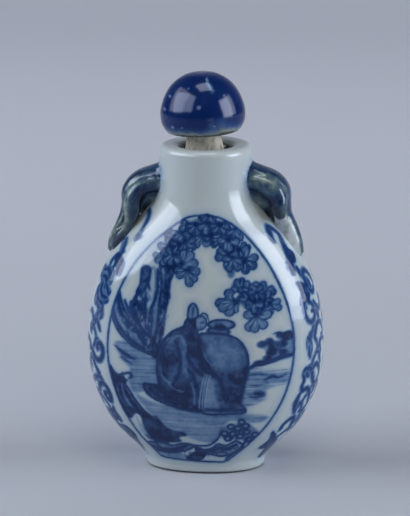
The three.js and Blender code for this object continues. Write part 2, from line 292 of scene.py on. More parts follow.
class Painting:
    """Cobalt laid on the points at (u, v), in millimetres on the flat of one picture."""

    def __init__(self, u, v):
        self.u, self.v = u, v
        self.line = np.full(len(u), NO_LINE_NEAR)
        self.tone = np.zeros(len(u))
        self.wash = np.zeros(len(u))

    def near(self, low, high, reach):
        """Which points are in a box, or within reach of it."""
        return np.nonzero(
            (self.u > low[0] - reach) & (self.u < high[0] + reach)
            & (self.v > low[1] - reach) & (self.v < high[1] + reach)
        )[0]

    def draw_line(self, pick, edge, tone):
        """Adds a dark line: edge is the distance outside it, and the nearest line's tone is kept."""
        closer = edge < self.line[pick]
        self.line[pick[closer]] = edge[closer]
        self.tone[pick[closer]] = tone

    def cover(self, pick, distance, tone, soft):
        """Lays an opaque patch over what was there; distance is less than 0 inside it."""
        self.line[pick] = np.maximum(self.line[pick], -distance)
        share = shade_off(distance, soft)
        self.wash[pick] += (tone - self.wash[pick]) * share

    def brushed(self, path, width, taper):
        """The points near a brush's path and how far outside its stroke each is; taper 1 points both ends."""
        pick = self.near(path.min(0), path.max(0), width + 1.0)
        distance, share = distance_to_path(self.u[pick], self.v[pick], path)
        return pick, distance - width / 2 * (1 - taper * (1 - np.sin(np.pi * share) ** 0.7))

    def stroke(self, points, width, tone=LOADED_BRUSH, taper=0.0, smooth=True):
        """A dark brush stroke through points, with its width at its middle."""
        pick, edge = self.brushed(through(points) if smooth else np.array(points, float), width, taper)
        self.draw_line(pick, edge, tone)

    def lift(self, points, width, tone, taper=0.5):
        """A pale streak left between darker strokes."""
        pick, edge = self.brushed(through(points), width, taper)
        self.cover(pick, edge, tone, LIFTED_EDGE)

    def shape(self, points, tone, line=0.0, line_tone=LOADED_BRUSH, soft=0.15):
        """An opaque closed patch, with an outline if line is its width."""
        outline = through(points, closed=True)
        pick = self.near(outline.min(0), outline.max(0), 1.2)
        distance = signed_distance(self.u[pick], self.v[pick], outline)
        self.cover(pick, distance, tone, soft)
        if line:
            self.draw_line(pick, np.abs(distance) - line / 2, line_tone)

    def area(self, points, tone, soft=0.5, streak=0.0):
        """A transparent wash over what was there, soft at its edges and streaked along the brush."""
        outline = through(points, closed=True)
        pick = self.near(outline.min(0), outline.max(0), soft + 0.5)
        distance = signed_distance(self.u[pick], self.v[pick], outline)
        uneven = 1 + streak * brush_streaks(self.u[pick], self.v[pick])
        share = shade_off(distance, soft) * np.clip(tone * uneven, 0, 1)
        self.wash[pick] = 1 - (1 - self.wash[pick]) * (1 - share)

    def blot(self, centre, radii, tone, soft=0.5):
        """A soft round patch of wash."""
        pick = self.near(np.array(centre) - max(radii), np.array(centre) + max(radii), soft + 0.3)
        across, up = (self.u[pick] - centre[0]) / radii[0], (self.v[pick] - centre[1]) / radii[1]
        share = shade_off((np.hypot(across, up) - 1) * min(radii), soft) * tone
        self.wash[pick] = 1 - (1 - self.wash[pick]) * (1 - share)

    def keep_inside(self, outline):
        """Wipes off what strays outside an outline."""
        distance = signed_distance(self.u, self.v, outline)
        self.line = np.maximum(self.line, distance)
        self.wash *= shade_off(distance, 0.1)


def shade_off(distance, soft):
    """1 well inside an edge and 0 well outside it, easing over a soft width."""
    t = np.clip(0.5 - distance / (2 * soft), 0, 1)
    return t * t * (3 - 2 * t)


def brush_streaks(u, v):
    """Level streaks of a broad brush, between about -1 and 1."""
    total = np.zeros(len(u))
    for across, along, start in ((2.1, 0.11, 0.4), (4.7, 0.23, 2.1), (8.3, -0.31, 1.2), (12.9, 0.57, 4.4)):
        total += np.sin(across * v + along * u + start + 0.9 * np.sin(0.37 * u + start))
    return total / 3


def through(points, closed=False, steps=6):
    """A smooth path through given points."""
    p = np.array(points, float)
    if len(p) < 3 and not closed:
        return p
    if closed:
        p = np.concatenate([p[-1:], p, p[:2]])
    else:
        p = np.concatenate([2 * p[:1] - p[1:2], p, 2 * p[-1:] - p[-2:-1]])
    t = (np.arange(steps) / steps)[:, None]
    pieces = []
    for a, b, c, d in zip(p[:-3], p[1:-2], p[2:-1], p[3:]):
        bend = t**2 * (a - 2.5 * b + 2 * c - d / 2) + t**3 * (1.5 * (b - c) + (d - a) / 2)
        pieces.append(b + t * (c - a) / 2 + bend)
    return np.concatenate([*pieces, p[-2:-1]])


def distance_to_path(u, v, path):
    """Each point's distance to a path, and the share of the path that comes before the nearest place."""
    best = np.full(len(u), 1e9)
    share = np.zeros(len(u))
    count = len(path) - 1
    for k in range(count):
        a, step = path[k], path[k + 1] - path[k]
        t = np.clip(((u - a[0]) * step[0] + (v - a[1]) * step[1]) / max(step @ step, 1e-9), 0, 1)
        d = np.hypot(u - a[0] - t * step[0], v - a[1] - t * step[1])
        closer = d < best
        best[closer] = d[closer]
        share[closer] = (k + t[closer]) / count
    return best, share


def signed_distance(u, v, outline):
    """Distance to a closed outline, less than 0 inside."""
    distance, _share = distance_to_path(u, v, outline)
    inside = np.zeros(len(u), bool)
    for a, b in zip(outline[:-1], outline[1:]):
        crosses = (a[1] > v) != (b[1] > v)
        slope = (b[0] - a[0]) / (b[1] - a[1] if b[1] != a[1] else 1e-9)
        inside ^= crosses & (u < a[0] + (v - a[1]) * slope)
    return np.where(inside, -distance, distance)


# The painted frame: down the right side from its point, up the left side to its point, and along its foot.
FRAME_RIGHT = ((1.3, 53.35), (4.5, 52.3), (7.8, 50.0), (10.7, 47.0), (13.5, 43.3), (15.6, 39.4), (17.2, 35.4),
               (18.2, 31.2), (18.55, 27.0), (18.2, 22.8), (17.3, 18.8), (15.7, 14.9), (13.3, 11.0),
               (10.3, 7.5), (7.5, 4.8), (5.4, 3.0))
FRAME_LEFT = ((-8.2, 3.3), (-9.6, 4.9), (-11.9, 7.6), (-14.0, 10.8), (-15.9, 14.4), (-17.4, 18.6),
              (-18.35, 23.0), (-18.5, 27.0), (-18.0, 31.3), (-16.9, 35.6), (-15.2, 39.6), (-12.7, 43.6),
              (-9.6, 47.2), (-6.0, 50.3), (-2.6, 52.6), (1.3, 53.35))
FRAME_FOOT = ((5.4, 3.0), (4.4, 2.6), (-7.2, 3.05), (-8.2, 3.3))
FRAME_LINE = 0.38


def draw_frame(picture):
    """Wipes what strays over the frame, then draws its line."""
    outline = np.concatenate([through(FRAME_RIGHT), np.array(FRAME_FOOT)[1:-1], through(FRAME_LEFT)])
    picture.keep_inside(outline)
    picture.stroke(FRAME_RIGHT, FRAME_LINE, 0.68, taper=0.12)
    picture.stroke(FRAME_LEFT, FRAME_LINE, 0.7, taper=0.12)
    picture.stroke(FRAME_FOOT, FRAME_LINE, 0.75, smooth=False)


LEAF_LINE, LEAF_LINE_TONE = 0.22, 0.72


def lobed_leaf(picture, base, heading, size, lobes=4, spread=190.0, tone=0.45):
    """A broad leaf with a scalloped edge of rounded lobes, and pale veins that fan out from its base."""
    base = np.array(base, float)
    ahead = np.array([math.cos(math.radians(heading)), math.sin(math.radians(heading))])
    veins = []
    for k in sorted(range(lobes), key=lambda k: -abs(k - (lobes - 1) / 2)):
        uneven = math.sin(11.3 * base[0] + 5.7 * base[1] + 2.4 * k)
        off_centre = k / (lobes - 1) - 0.5
        turn = math.radians(heading + spread * 0.78 * off_centre + 8 * uneven)
        curl = turn + math.radians(40 * off_centre + 18 * uneven)
        reach = size * (1.0 - 0.34 * abs(off_centre) + 0.1 * uneven)
        along = np.array([math.cos(turn), math.sin(turn)])
        bent = np.array([math.cos(curl), math.sin(curl)])
        knee = base + 0.5 * reach * along
        tip = knee + 0.22 * reach * bent
        axis = through((base + 0.15 * reach * along, knee, tip), steps=3)
        pick = picture.near(axis.min(0), axis.max(0), 0.4 * size + 0.8)
        distance, share = distance_to_path(picture.u[pick], picture.v[pick], axis)
        lobe = distance - size * (0.1 + 0.16 * share ** 0.8)
        picture.cover(pick, lobe, tone * (1.15 - 0.3 * off_centre), LIFTED_EDGE)
        picture.draw_line(pick, np.abs(lobe) - LEAF_LINE / 2, LEAF_LINE_TONE)
        veins.append((base + 0.3 * reach * along, knee, tip + 0.02 * size * bent))
    middle = base + 0.3 * size * ahead
    pick = picture.near(middle, middle, 0.6 * size)
    inner = np.hypot(picture.u[pick] - middle[0], picture.v[pick] - middle[1]) - 0.3 * size
    picture.cover(pick, inner, tone * 1.25, 0.2)
    for vein in veins:
        picture.lift(vein, 0.2 + 0.035 * size, tone * 0.3, 0.7)
        across = (vein[1] - vein[0])[::-1] * np.array([-0.3, 0.3])
        picture.stroke((vein[0] + across, vein[1] + 0.8 * across, vein[2] + 0.2 * across), 0.12, 0.6, 0.8)
    picture.blot(base, (0.18 * size, 0.18 * size), 0.5, 0.4)


def leaf_mass(picture, shade, leaves, seed):
    """Leaves over a dark underlayer; each is its base, heading in degrees, size, lobe count and spread."""
    for outline in shade:
        picture.area(outline, 0.56, soft=0.4)
    vary = np.random.default_rng(seed)
    for u, v, heading, size, lobes, spread in leaves:
        lobed_leaf(picture, (u, v), heading, size, max(3, lobes - 1), spread, vary.uniform(0.3, 0.5))


TOP_SHADE = (
    ((-7.4, 45.0), (-5.6, 47.6), (-3.4, 50.2), (-1.0, 52.4), (3.4, 52.2), (6.6, 50.4), (7.2, 48.6),
     (7.4, 46.8), (6.0, 45.8), (4.4, 47.2), (1.4, 48.6), (-1.0, 47.6), (-3.0, 46.6), (-4.2, 44.4),
     (-4.8, 42.4), (-6.8, 42.8)),
    ((4.2, 47.8), (7.6, 47.2), (8.8, 45.2), (7.6, 44.2), (5.6, 43.8), (4.2, 45.2)),
    ((-4.6, 44.8), (-2.0, 44.4), (-1.4, 42.2), (-3.2, 41.6), (-5.0, 42.2)),
    ((5.7, 42.6), (6.8, 42.6), (6.9, 41.7), (6.2, 41.2), (5.6, 41.7)),
)
TOP_LEAVES = (
    (-5.0, 49.0, 215, 2.5, 5, 190), (-2.4, 51.6, 235, 2.5, 4, 170), (1.6, 53.4, 268, 2.3, 5, 190),
    (5.0, 52.0, 285, 2.4, 4, 170), (-6.0, 46.8, 200, 2.5, 5, 190), (-3.8, 49.6, 250, 2.5, 5, 180),
    (-0.8, 51.4, 262, 2.4, 5, 180), (1.3, 51.6, 266, 2.3, 4, 150), (3.8, 51.4, 268, 2.5, 5, 180),
    (6.7, 50.4, 292, 2.5, 4, 160), (-4.0, 47.6, 255, 2.5, 5, 180), (-1.6, 49.2, 250, 2.4, 4, 160),
    (0.3, 49.3, 250, 2.9, 4, 120), (2.2, 49.3, 285, 2.4, 4, 140), (3.9, 48.7, 235, 1.9, 3, 120),
    (5.5, 48.5, 268, 2.7, 5, 170), (-2.9, 48.0, 300, 2.5, 5, 170), (7.6, 46.6, 355, 2.2, 4, 130),
    (-7.2, 44.9, 190, 2.1, 5, 200), (5.7, 45.4, 200, 2.9, 4, 120), (6.6, 45.0, 268, 2.8, 5, 170),
    (8.7, 44.6, 352, 3.0, 5, 190), (-5.2, 45.4, 230, 2.4, 5, 190), (-3.4, 43.9, 18, 3.2, 5, 170),
    (-2.3, 42.5, 268, 3.0, 6, 225),
)
RIGHT_SHADE = (
    ((6.4, 40.0), (8.4, 40.4), (10.2, 40.0), (12.6, 39.6), (13.8, 38.8), (14.4, 36.8), (13.6, 35.6),
     (11.6, 35.2), (9.4, 35.2), (8.4, 36.0), (8.2, 37.6), (7.2, 38.8)),
    ((10.4, 35.4), (12.8, 35.2), (12.8, 33.0), (11.6, 32.2), (10.4, 33.0)),
)
RIGHT_LEAVES = (
    (8.3, 38.9, 128, 2.5, 4, 120), (10.2, 38.5, 92, 2.5, 5, 180), (12.7, 38.0, 68, 2.5, 5, 170),
    (12.8, 36.9, 350, 2.2, 4, 130), (9.0, 38.3, 215, 2.0, 4, 150), (11.3, 38.2, 120, 2.2, 4, 150),
    (9.9, 37.0, 190, 2.2, 4, 150), (11.9, 36.9, 210, 2.1, 4, 160), (7.7, 36.4, 215, 2.6, 3, 90),
    (10.9, 36.5, 262, 2.3, 4, 150), (13.9, 36.2, 312, 2.4, 4, 140), (12.7, 35.2, 318, 2.0, 3, 90),
    (11.3, 33.6, 268, 3.3, 6, 215),
)


def trees_and_rocks(picture):
    """Two old trunks at the left of the picture, with slanting rocks at their feet."""
    picture.area(((-8.6, 42.6), (-9.7, 42.4), (-10.6, 38.4), (-11.3, 35.4), (-11.4, 31.8), (-8.8, 26.2),
                  (-7.6, 26.4), (-7.6, 38.0)), 0.4, soft=0.4, streak=0.15)
    picture.shape(((-11.5, 42.5), (-10.6, 42.9), (-9.7, 42.4), (-9.9, 40.6), (-10.6, 38.8), (-11.0, 37.6),
                   (-12.1, 37.2), (-12.5, 37.8), (-11.8, 39.4)), 0.7, 0.25, 0.84, soft=0.4)
    picture.stroke(((-12.0, 38.0), (-12.7, 36.6), (-13.2, 35.6)), 0.7, 0.85, 0.3)
    picture.shape(((-13.8, 35.4), (-12.8, 36.0), (-11.3, 35.8), (-10.9, 34.2), (-11.2, 32.4), (-12.2, 31.6),
                   (-13.2, 32.8)), 0.72, 0.2, 0.82, soft=0.5)
    picture.stroke(((-10.8, 38.6), (-10.7, 36.4), (-10.6, 33.8), (-10.4, 30.6)), 0.55, 0.7, 0.5)
    picture.lift(((-11.5, 37.2), (-11.4, 36.2), (-11.0, 34.8)), 0.5, 0.45)
    picture.lift(((-9.2, 42.2), (-9.3, 39.6), (-9.6, 36.8), (-10.1, 35.0)), 0.95, 0.14)
    picture.stroke(((-8.3, 42.6), (-8.2, 40.4), (-8.3, 38.2), (-8.8, 36.2), (-9.6, 34.2), (-9.9, 31.4),
                    (-10.0, 28.2)), 0.5, 0.78, 0.4)
    picture.shape(((-7.5, 44.2), (-4.7, 43.6), (-5.1, 41.6), (-5.6, 40.4), (-5.8, 38.4), (-5.7, 37.2),
                   (-6.2, 35.8), (-6.5, 34.2), (-6.8, 31.4), (-7.2, 28.4), (-7.3, 25.3), (-9.2, 25.2),
                   (-9.0, 28.0), (-8.4, 31.0), (-8.0, 34.4), (-7.9, 36.2), (-7.6, 39.8), (-8.0, 42.2)), 0.74,
                  0.15, 0.86, soft=0.35)
    picture.lift(((-7.3, 37.9), (-6.9, 37.1), (-6.5, 36.3)), 0.55, 0.45)
    picture.lift(((-8.0, 41.4), (-7.8, 39.6), (-7.9, 37.6), (-8.4, 35.8)), 0.3, 0.35)
    picture.lift(((-8.5, 35.4), (-8.8, 32.4), (-9.2, 29.2), (-9.3, 26.8)), 0.5, 0.42)
    picture.stroke(((-9.2, 34.6), (-9.3, 31.6), (-9.7, 28.4), (-9.9, 26.4)), 0.3, 0.75, 0.4)
    picture.area(((-17.2, 35.6), (-16.2, 37.2), (-14.2, 33.8), (-11.4, 30.6), (-8.6, 28.6), (-8.0, 25.2),
                  (-10.6, 25.9), (-14.0, 28.0), (-16.6, 31.2)), 0.5, soft=0.3, streak=0.2)
    picture.stroke(((-16.2, 37.4), (-15.9, 35.2), (-15.0, 33.0), (-13.4, 31.0), (-11.8, 29.4), (-10.8, 27.6)),
                   1.2, 0.8, 0.35)
    picture.stroke(((-14.9, 35.9), (-14.0, 34.0), (-12.7, 32.4), (-11.4, 30.8), (-10.3, 28.8), (-9.9, 26.6)),
                   0.75, 0.76, 0.4)
    picture.stroke(((-17.6, 33.8), (-16.9, 31.4), (-15.4, 29.2), (-13.2, 27.5), (-11.0, 26.4), (-8.9, 25.6)),
                   1.15, 0.84, 0.3)
    for points, width, tone in ((((-17.0, 34.8), (-16.3, 32.2), (-14.8, 30.2), (-13.4, 28.9)), 0.42, 0.3),
                                (((-16.0, 35.6), (-15.2, 33.6), (-13.8, 31.8), (-12.4, 30.2)), 0.3, 0.25),
                                (((-13.4, 29.6), (-11.8, 28.2), (-10.4, 27.0)), 0.35, 0.35),
                                (((-5.6, 42.6), (-6.2, 41.0), (-6.1, 39.2)), 0.3, 0.5),
                                (((-7.2, 41.6), (-7.0, 40.2), (-7.2, 38.8)), 0.35, 0.55),
                                (((-7.4, 33.6), (-7.6, 31.0), (-8.2, 28.6)), 0.35, 0.55),
                                (((-12.6, 35.0), (-12.2, 33.8), (-11.8, 32.8)), 0.35, 0.45)):
        picture.lift(points, width, tone)


def bark(picture):
    """Broken strokes up both trunks and down the slanting rocks: dark creases, with bare clay between."""
    vary = np.random.default_rng(17)
    for axis, reach, count in (
        (((-10.9, 42.2), (-11.2, 38.4), (-11.8, 35.0), (-11.6, 32.2)), 0.8, 18),
        (((-6.2, 43.6), (-6.8, 39.6), (-6.9, 35.0), (-7.8, 30.0), (-8.2, 26.0)), 1.1, 34),
        (((-9.9, 40.0), (-10.3, 36.0), (-9.8, 31.0), (-9.6, 27.4)), 0.5, 10),
        (((-16.4, 34.2), (-14.6, 31.0), (-12.0, 28.6), (-9.6, 26.8)), 1.5, 26),
    ):
        path = through(axis)
        for _stroke in range(count):
            place = vary.uniform(0.02, 0.93) * (len(path) - 1)
            k = int(place)
            along = (path[k + 1] - path[k]) / np.linalg.norm(path[k + 1] - path[k])
            across = np.array([-along[1], along[0]])
            start = path[k] + (place - k) * (path[k + 1] - path[k]) + across * vary.uniform(-reach, reach)
            lean_out = across * vary.uniform(-0.5, 0.5)
            length = vary.uniform(0.5, 1.5)
            points = (start, start + along * length / 2 + lean_out * 0.2, start + along * length + lean_out)
            if vary.random() < 0.55:
                picture.stroke(points, vary.uniform(0.16, 0.42), vary.uniform(0.72, 0.9), 0.7)
            else:
                picture.lift(points, vary.uniform(0.2, 0.42), vary.uniform(0.2, 0.45), 0.7)


def water_and_ground(picture):
    """Pale level washes of water and ground, with a few dark ripples."""
    picture.area(((-16.8, 27.3), (-13.6, 27.4), (-10.0, 25.2), (-7.6, 24.8), (-7.6, 19.8), (-10.2, 18.4),
                  (-13.0, 17.2), (-14.2, 19.8), (-13.8, 22.2), (-15.6, 24.2)), 0.4, soft=0.5, streak=0.35)
    picture.area(((-12.6, 17.0), (-9.0, 15.6), (-3.0, 14.6), (3.0, 13.7), (9.4, 13.7), (13.4, 12.9),
                  (11.6, 11.6), (6.2, 12.2), (4.2, 9.6), (2.4, 7.3), (-2.4, 8.4), (-6.2, 10.4),
                  (-9.6, 13.0)), 0.4, soft=0.5, streak=0.3)
    picture.area(((9.4, 23.4), (13.0, 22.9), (17.6, 22.4), (17.0, 19.6), (13.6, 18.8), (12.9, 16.6),
                  (10.4, 15.4), (7.6, 15.4), (8.2, 19.0)), 0.34, soft=0.5, streak=0.6)
    picture.stroke(((-17.1, 26.7), (-15.6, 25.6), (-14.2, 24.9), (-12.8, 24.2)), 0.55, 0.85, 0.9)
    picture.stroke(((-15.8, 24.3), (-14.6, 23.9), (-13.4, 23.2)), 0.3, 0.6, 0.9)
    picture.stroke(((12.9, 20.7), (14.4, 21.4), (15.6, 21.1), (17.2, 21.6)), 0.42, 0.84, 0.9)
    picture.stroke(((9.7, 17.7), (11.2, 17.1), (12.9, 17.5)), 0.35, 0.6, 0.8)
    picture.blot((11.8, 18.0), (1.1, 0.55), 0.78, 0.35)
    picture.stroke(((10.0, 21.9), (11.6, 22.1), (13.2, 21.9)), 0.25, 0.5, 0.9)
    picture.stroke(((9.6, 19.9), (11.4, 19.7), (13.6, 20.0)), 0.22, 0.45, 0.9)


def bank_and_bush(picture):
    """A dark bush on a low bank at the right edge."""
    for u, v, *radii in (
        (12.4, 28.0, 0.95, 0.7), (13.8, 28.5, 0.9, 0.75), (14.9, 27.5, 1.3, 1.0), (14.2, 26.3, 1.0, 0.8),
        (16.4, 27.9, 0.9, 0.75), (17.3, 29.4, 1.2, 0.95), (15.8, 29.6, 0.7, 0.6), (16.4, 26.3, 0.9, 0.5),
        (13.4, 25.2, 0.8, 0.6), (12.0, 24.3, 1.1, 0.55),
    ):
        picture.blot((u, v), radii, 0.9, 0.3)
    picture.area(((12.2, 28.6), (15.0, 28.6), (17.9, 30.4), (18.4, 25.4), (14.6, 24.8), (13.2, 26.4)), 0.45,
                 soft=0.4)
    picture.stroke(((9.7, 23.1), (11.2, 23.9), (12.8, 24.2), (14.8, 24.7), (16.4, 25.3), (18.4, 25.5)), 0.9,
                   0.93, 0.45)
    picture.stroke(((14.6, 30.0), (15.7, 30.2), (16.8, 29.8)), 0.35, 0.8, 0.8)


def figure_and_jar(picture):
    """A robed figure, seen half from behind, who leans on a round-bodied wine jar."""
    robe = ((-3.3, 31.4), (-5.4, 30.3), (-7.1, 28.3), (-7.9, 26.0), (-8.3, 23.2), (-8.1, 21.0), (-8.0, 19.5),
            (-9.4, 19.4), (-10.9, 19.4), (-10.6, 17.8), (-9.2, 16.6), (-7.0, 15.6), (-4.4, 14.8),
            (-1.8, 14.3), (0.2, 14.1), (1.6, 13.6), (4.0, 13.7), (4.8, 15.2), (5.4, 17.6), (4.4, 20.6),
            (2.0, 22.8), (0.8, 25.6), (0.3, 28.6), (-0.2, 30.6), (-1.4, 32.4))
    jar = ((0.5, 30.2), (3.0, 30.4), (5.6, 30.1), (7.8, 29.1), (9.2, 27.4), (9.8, 25.2), (9.7, 22.8),
           (9.1, 20.0), (8.5, 17.6), (8.3, 15.9), (9.2, 14.7), (8.9, 13.9), (6.4, 13.7), (3.4, 13.8),
           (2.6, 15.4), (2.4, 18.4), (1.6, 21.6), (0.0, 24.6), (-0.8, 27.4), (-0.5, 29.4))
    picture.shape(jar, 0.6, 0.34, 0.88, soft=0.2)
    picture.shape(robe, 0.66, 0.34, 0.88, soft=0.2)
    # The jar's lit shoulder, its shaded side and its foot.
    picture.blot((4.9, 26.4), (2.4, 2.0), -0.22, 1.8)
    picture.area(((6.2, 22.6), (8.0, 23.4), (9.6, 23.4), (9.0, 19.6), (8.3, 16.2), (6.4, 15.3), (5.2, 16.8),
                  (5.6, 19.6)), 0.88, soft=0.9)
    picture.area(((0.6, 29.2), (1.6, 26.0), (3.2, 23.4), (6.4, 22.0), (4.8, 20.6), (2.0, 22.4), (-0.2, 25.2),
                  (-0.8, 28.4)), 0.7, soft=0.8)
    picture.stroke(((2.0, 30.5), (2.1, 31.2)), 0.35, 0.85)
    picture.stroke(((5.9, 30.3), (5.8, 31.0)), 0.35, 0.85)
    picture.area(((2.0, 31.4), (5.9, 31.2), (6.0, 30.2), (1.9, 30.3)), 0.5, soft=0.2)
    rim = [(4.5 + 2.6 * math.cos(t), 32.1 + 0.95 * math.sin(t)) for t in np.linspace(0, 2 * np.pi, 12)[:-1]]
    picture.shape(rim, 0.42, 0.36, 0.92)
    picture.blot((4.3, 31.6), (1.1, 0.5), 0.92, 0.2)
    picture.blot((3.9, 32.0), (0.8, 0.5), 0.6, 0.25)
    # The near skirt of the robe between its dark folds.
    picture.shape(((1.5, 14.9), (1.9, 20.6), (3.4, 20.4), (4.6, 18.8), (5.3, 16.6), (5.6, 14.9)), 0.42, 0.0,
                  soft=0.3)
    picture.area(((3.2, 19.6), (4.6, 19.4), (5.8, 17.2), (5.8, 15.0), (4.2, 15.0)), 0.6, soft=0.5)
    picture.area(((-6.8, 18.0), (-4.6, 19.4), (-1.6, 20.6), (0.2, 18.6), (0.3, 14.2), (-3.0, 14.6),
                  (-6.2, 15.8)), 0.86, soft=0.7)
    picture.blot((-5.8, 24.5), (1.5, 1.8), 0.86, 0.9)
    picture.area(((-8.0, 22.4), (-6.6, 22.0), (-4.8, 19.0), (-6.6, 17.0), (-9.8, 18.6), (-8.0, 19.8)), 0.45,
                 soft=0.5)
    picture.area(((-3.6, 30.4), (-1.6, 31.6), (-0.4, 29.0), (0.6, 25.6), (2.6, 23.0), (1.2, 22.4),
                  (-1.2, 25.4), (-2.8, 28.2)), 0.8, soft=0.4)
    for shift, tone in ((0.0, 0.3), (0.55, 0.34), (1.1, 0.3)):
        fold = (0.1 + shift, 14.8), (0.3 + shift, 17.4), (0.75 + shift, 20.0), (1.3 + shift, 22.0)
        picture.lift(fold, 0.3, tone)
    for points in (((-5.3, 30.2), (-6.9, 27.6), (-7.2, 24.6), (-6.8, 21.8)),
                   ((-4.4, 28.4), (-3.6, 25.4), (-3.8, 22.4), (-5.0, 19.6)),
                   ((-2.6, 28.0), (-1.9, 25.0), (-0.4, 22.8), (1.0, 21.6)),
                   ((-8.6, 19.3), (-7.0, 18.2), (-5.0, 17.4), (-3.0, 17.2)),
                   ((-9.9, 18.4), (-8.0, 17.0), (-5.4, 16.2), (-2.6, 16.0)),
                   ((-4.0, 24.8), (-2.4, 23.4), (-1.0, 21.6), (-0.4, 19.4))):
        picture.stroke(points, 0.34, 0.95, 0.6)
    for points, width, tone in ((((-3.4, 29.6), (-2.6, 27.4), (-2.9, 24.6), (-2.2, 21.4)), 0.9, 0.5),
                                (((-5.6, 28.2), (-4.8, 29.2), (-3.8, 29.8)), 0.6, 0.48),
                                (((-6.6, 21.0), (-5.2, 19.0), (-3.0, 18.2)), 0.3, 0.55),
                                (((-1.4, 20.4), (-0.8, 18.0), (-0.9, 15.6)), 0.4, 0.6),
                                (((0.6, 27.8), (1.4, 25.4), (2.8, 23.8)), 0.3, 0.5)):
        picture.lift(points, width, tone)
    for points in (((-6.9, 27.8), (-6.2, 28.8), (-5.0, 29.4)), ((-3.2, 26.6), (-2.4, 24.4), (-2.3, 22.4)),
                   ((-7.4, 21.6), (-6.4, 20.4), (-5.4, 19.9))):
        picture.lift(points, 0.5, 0.5)
    picture.stroke(((1.4, 14.7), (4.4, 14.5), (6.8, 14.6), (8.9, 14.5)), 0.5, 0.95, 0.4)
    picture.lift(((0.6, 14.1), (3.4, 14.0), (6.4, 14.1)), 0.3, 0.4)
    # Head in profile with a topknot and a gauze cap, drawn in a few strokes.
    picture.shape(((0.0, 33.7), (0.9, 33.7), (1.5, 32.9), (1.6, 32.1), (1.1, 31.3), (0.2, 31.0), (-0.6, 31.7),
                   (-0.6, 33.0)), 0.32, 0.26, 0.82)
    picture.shape(((-2.9, 31.0), (-2.8, 32.6), (-1.8, 33.6), (-0.6, 33.4), (-0.5, 31.8), (-1.0, 30.2),
                   (-2.0, 29.4)), 0.9, 0.0)
    picture.shape(((-2.0, 33.2), (-2.0, 35.0), (-1.4, 36.1), (-0.6, 35.9), (-0.1, 34.6), (-0.3, 33.4)), 0.35,
                  0.32, 0.88)
    picture.stroke(((-1.2, 33.6), (-1.1, 34.6), (-1.0, 35.4)), 0.25, 0.7)
    picture.stroke(((0.3, 33.6), (0.8, 34.3), (1.6, 34.0), (2.0, 33.0)), 0.3, 0.88, 0.4)
    picture.stroke(((0.5, 32.4), (0.9, 32.5), (1.3, 32.3)), 0.2, 0.8, 0.5)
    picture.stroke(((0.5, 31.4), (0.9, 31.3)), 0.18, 0.7)


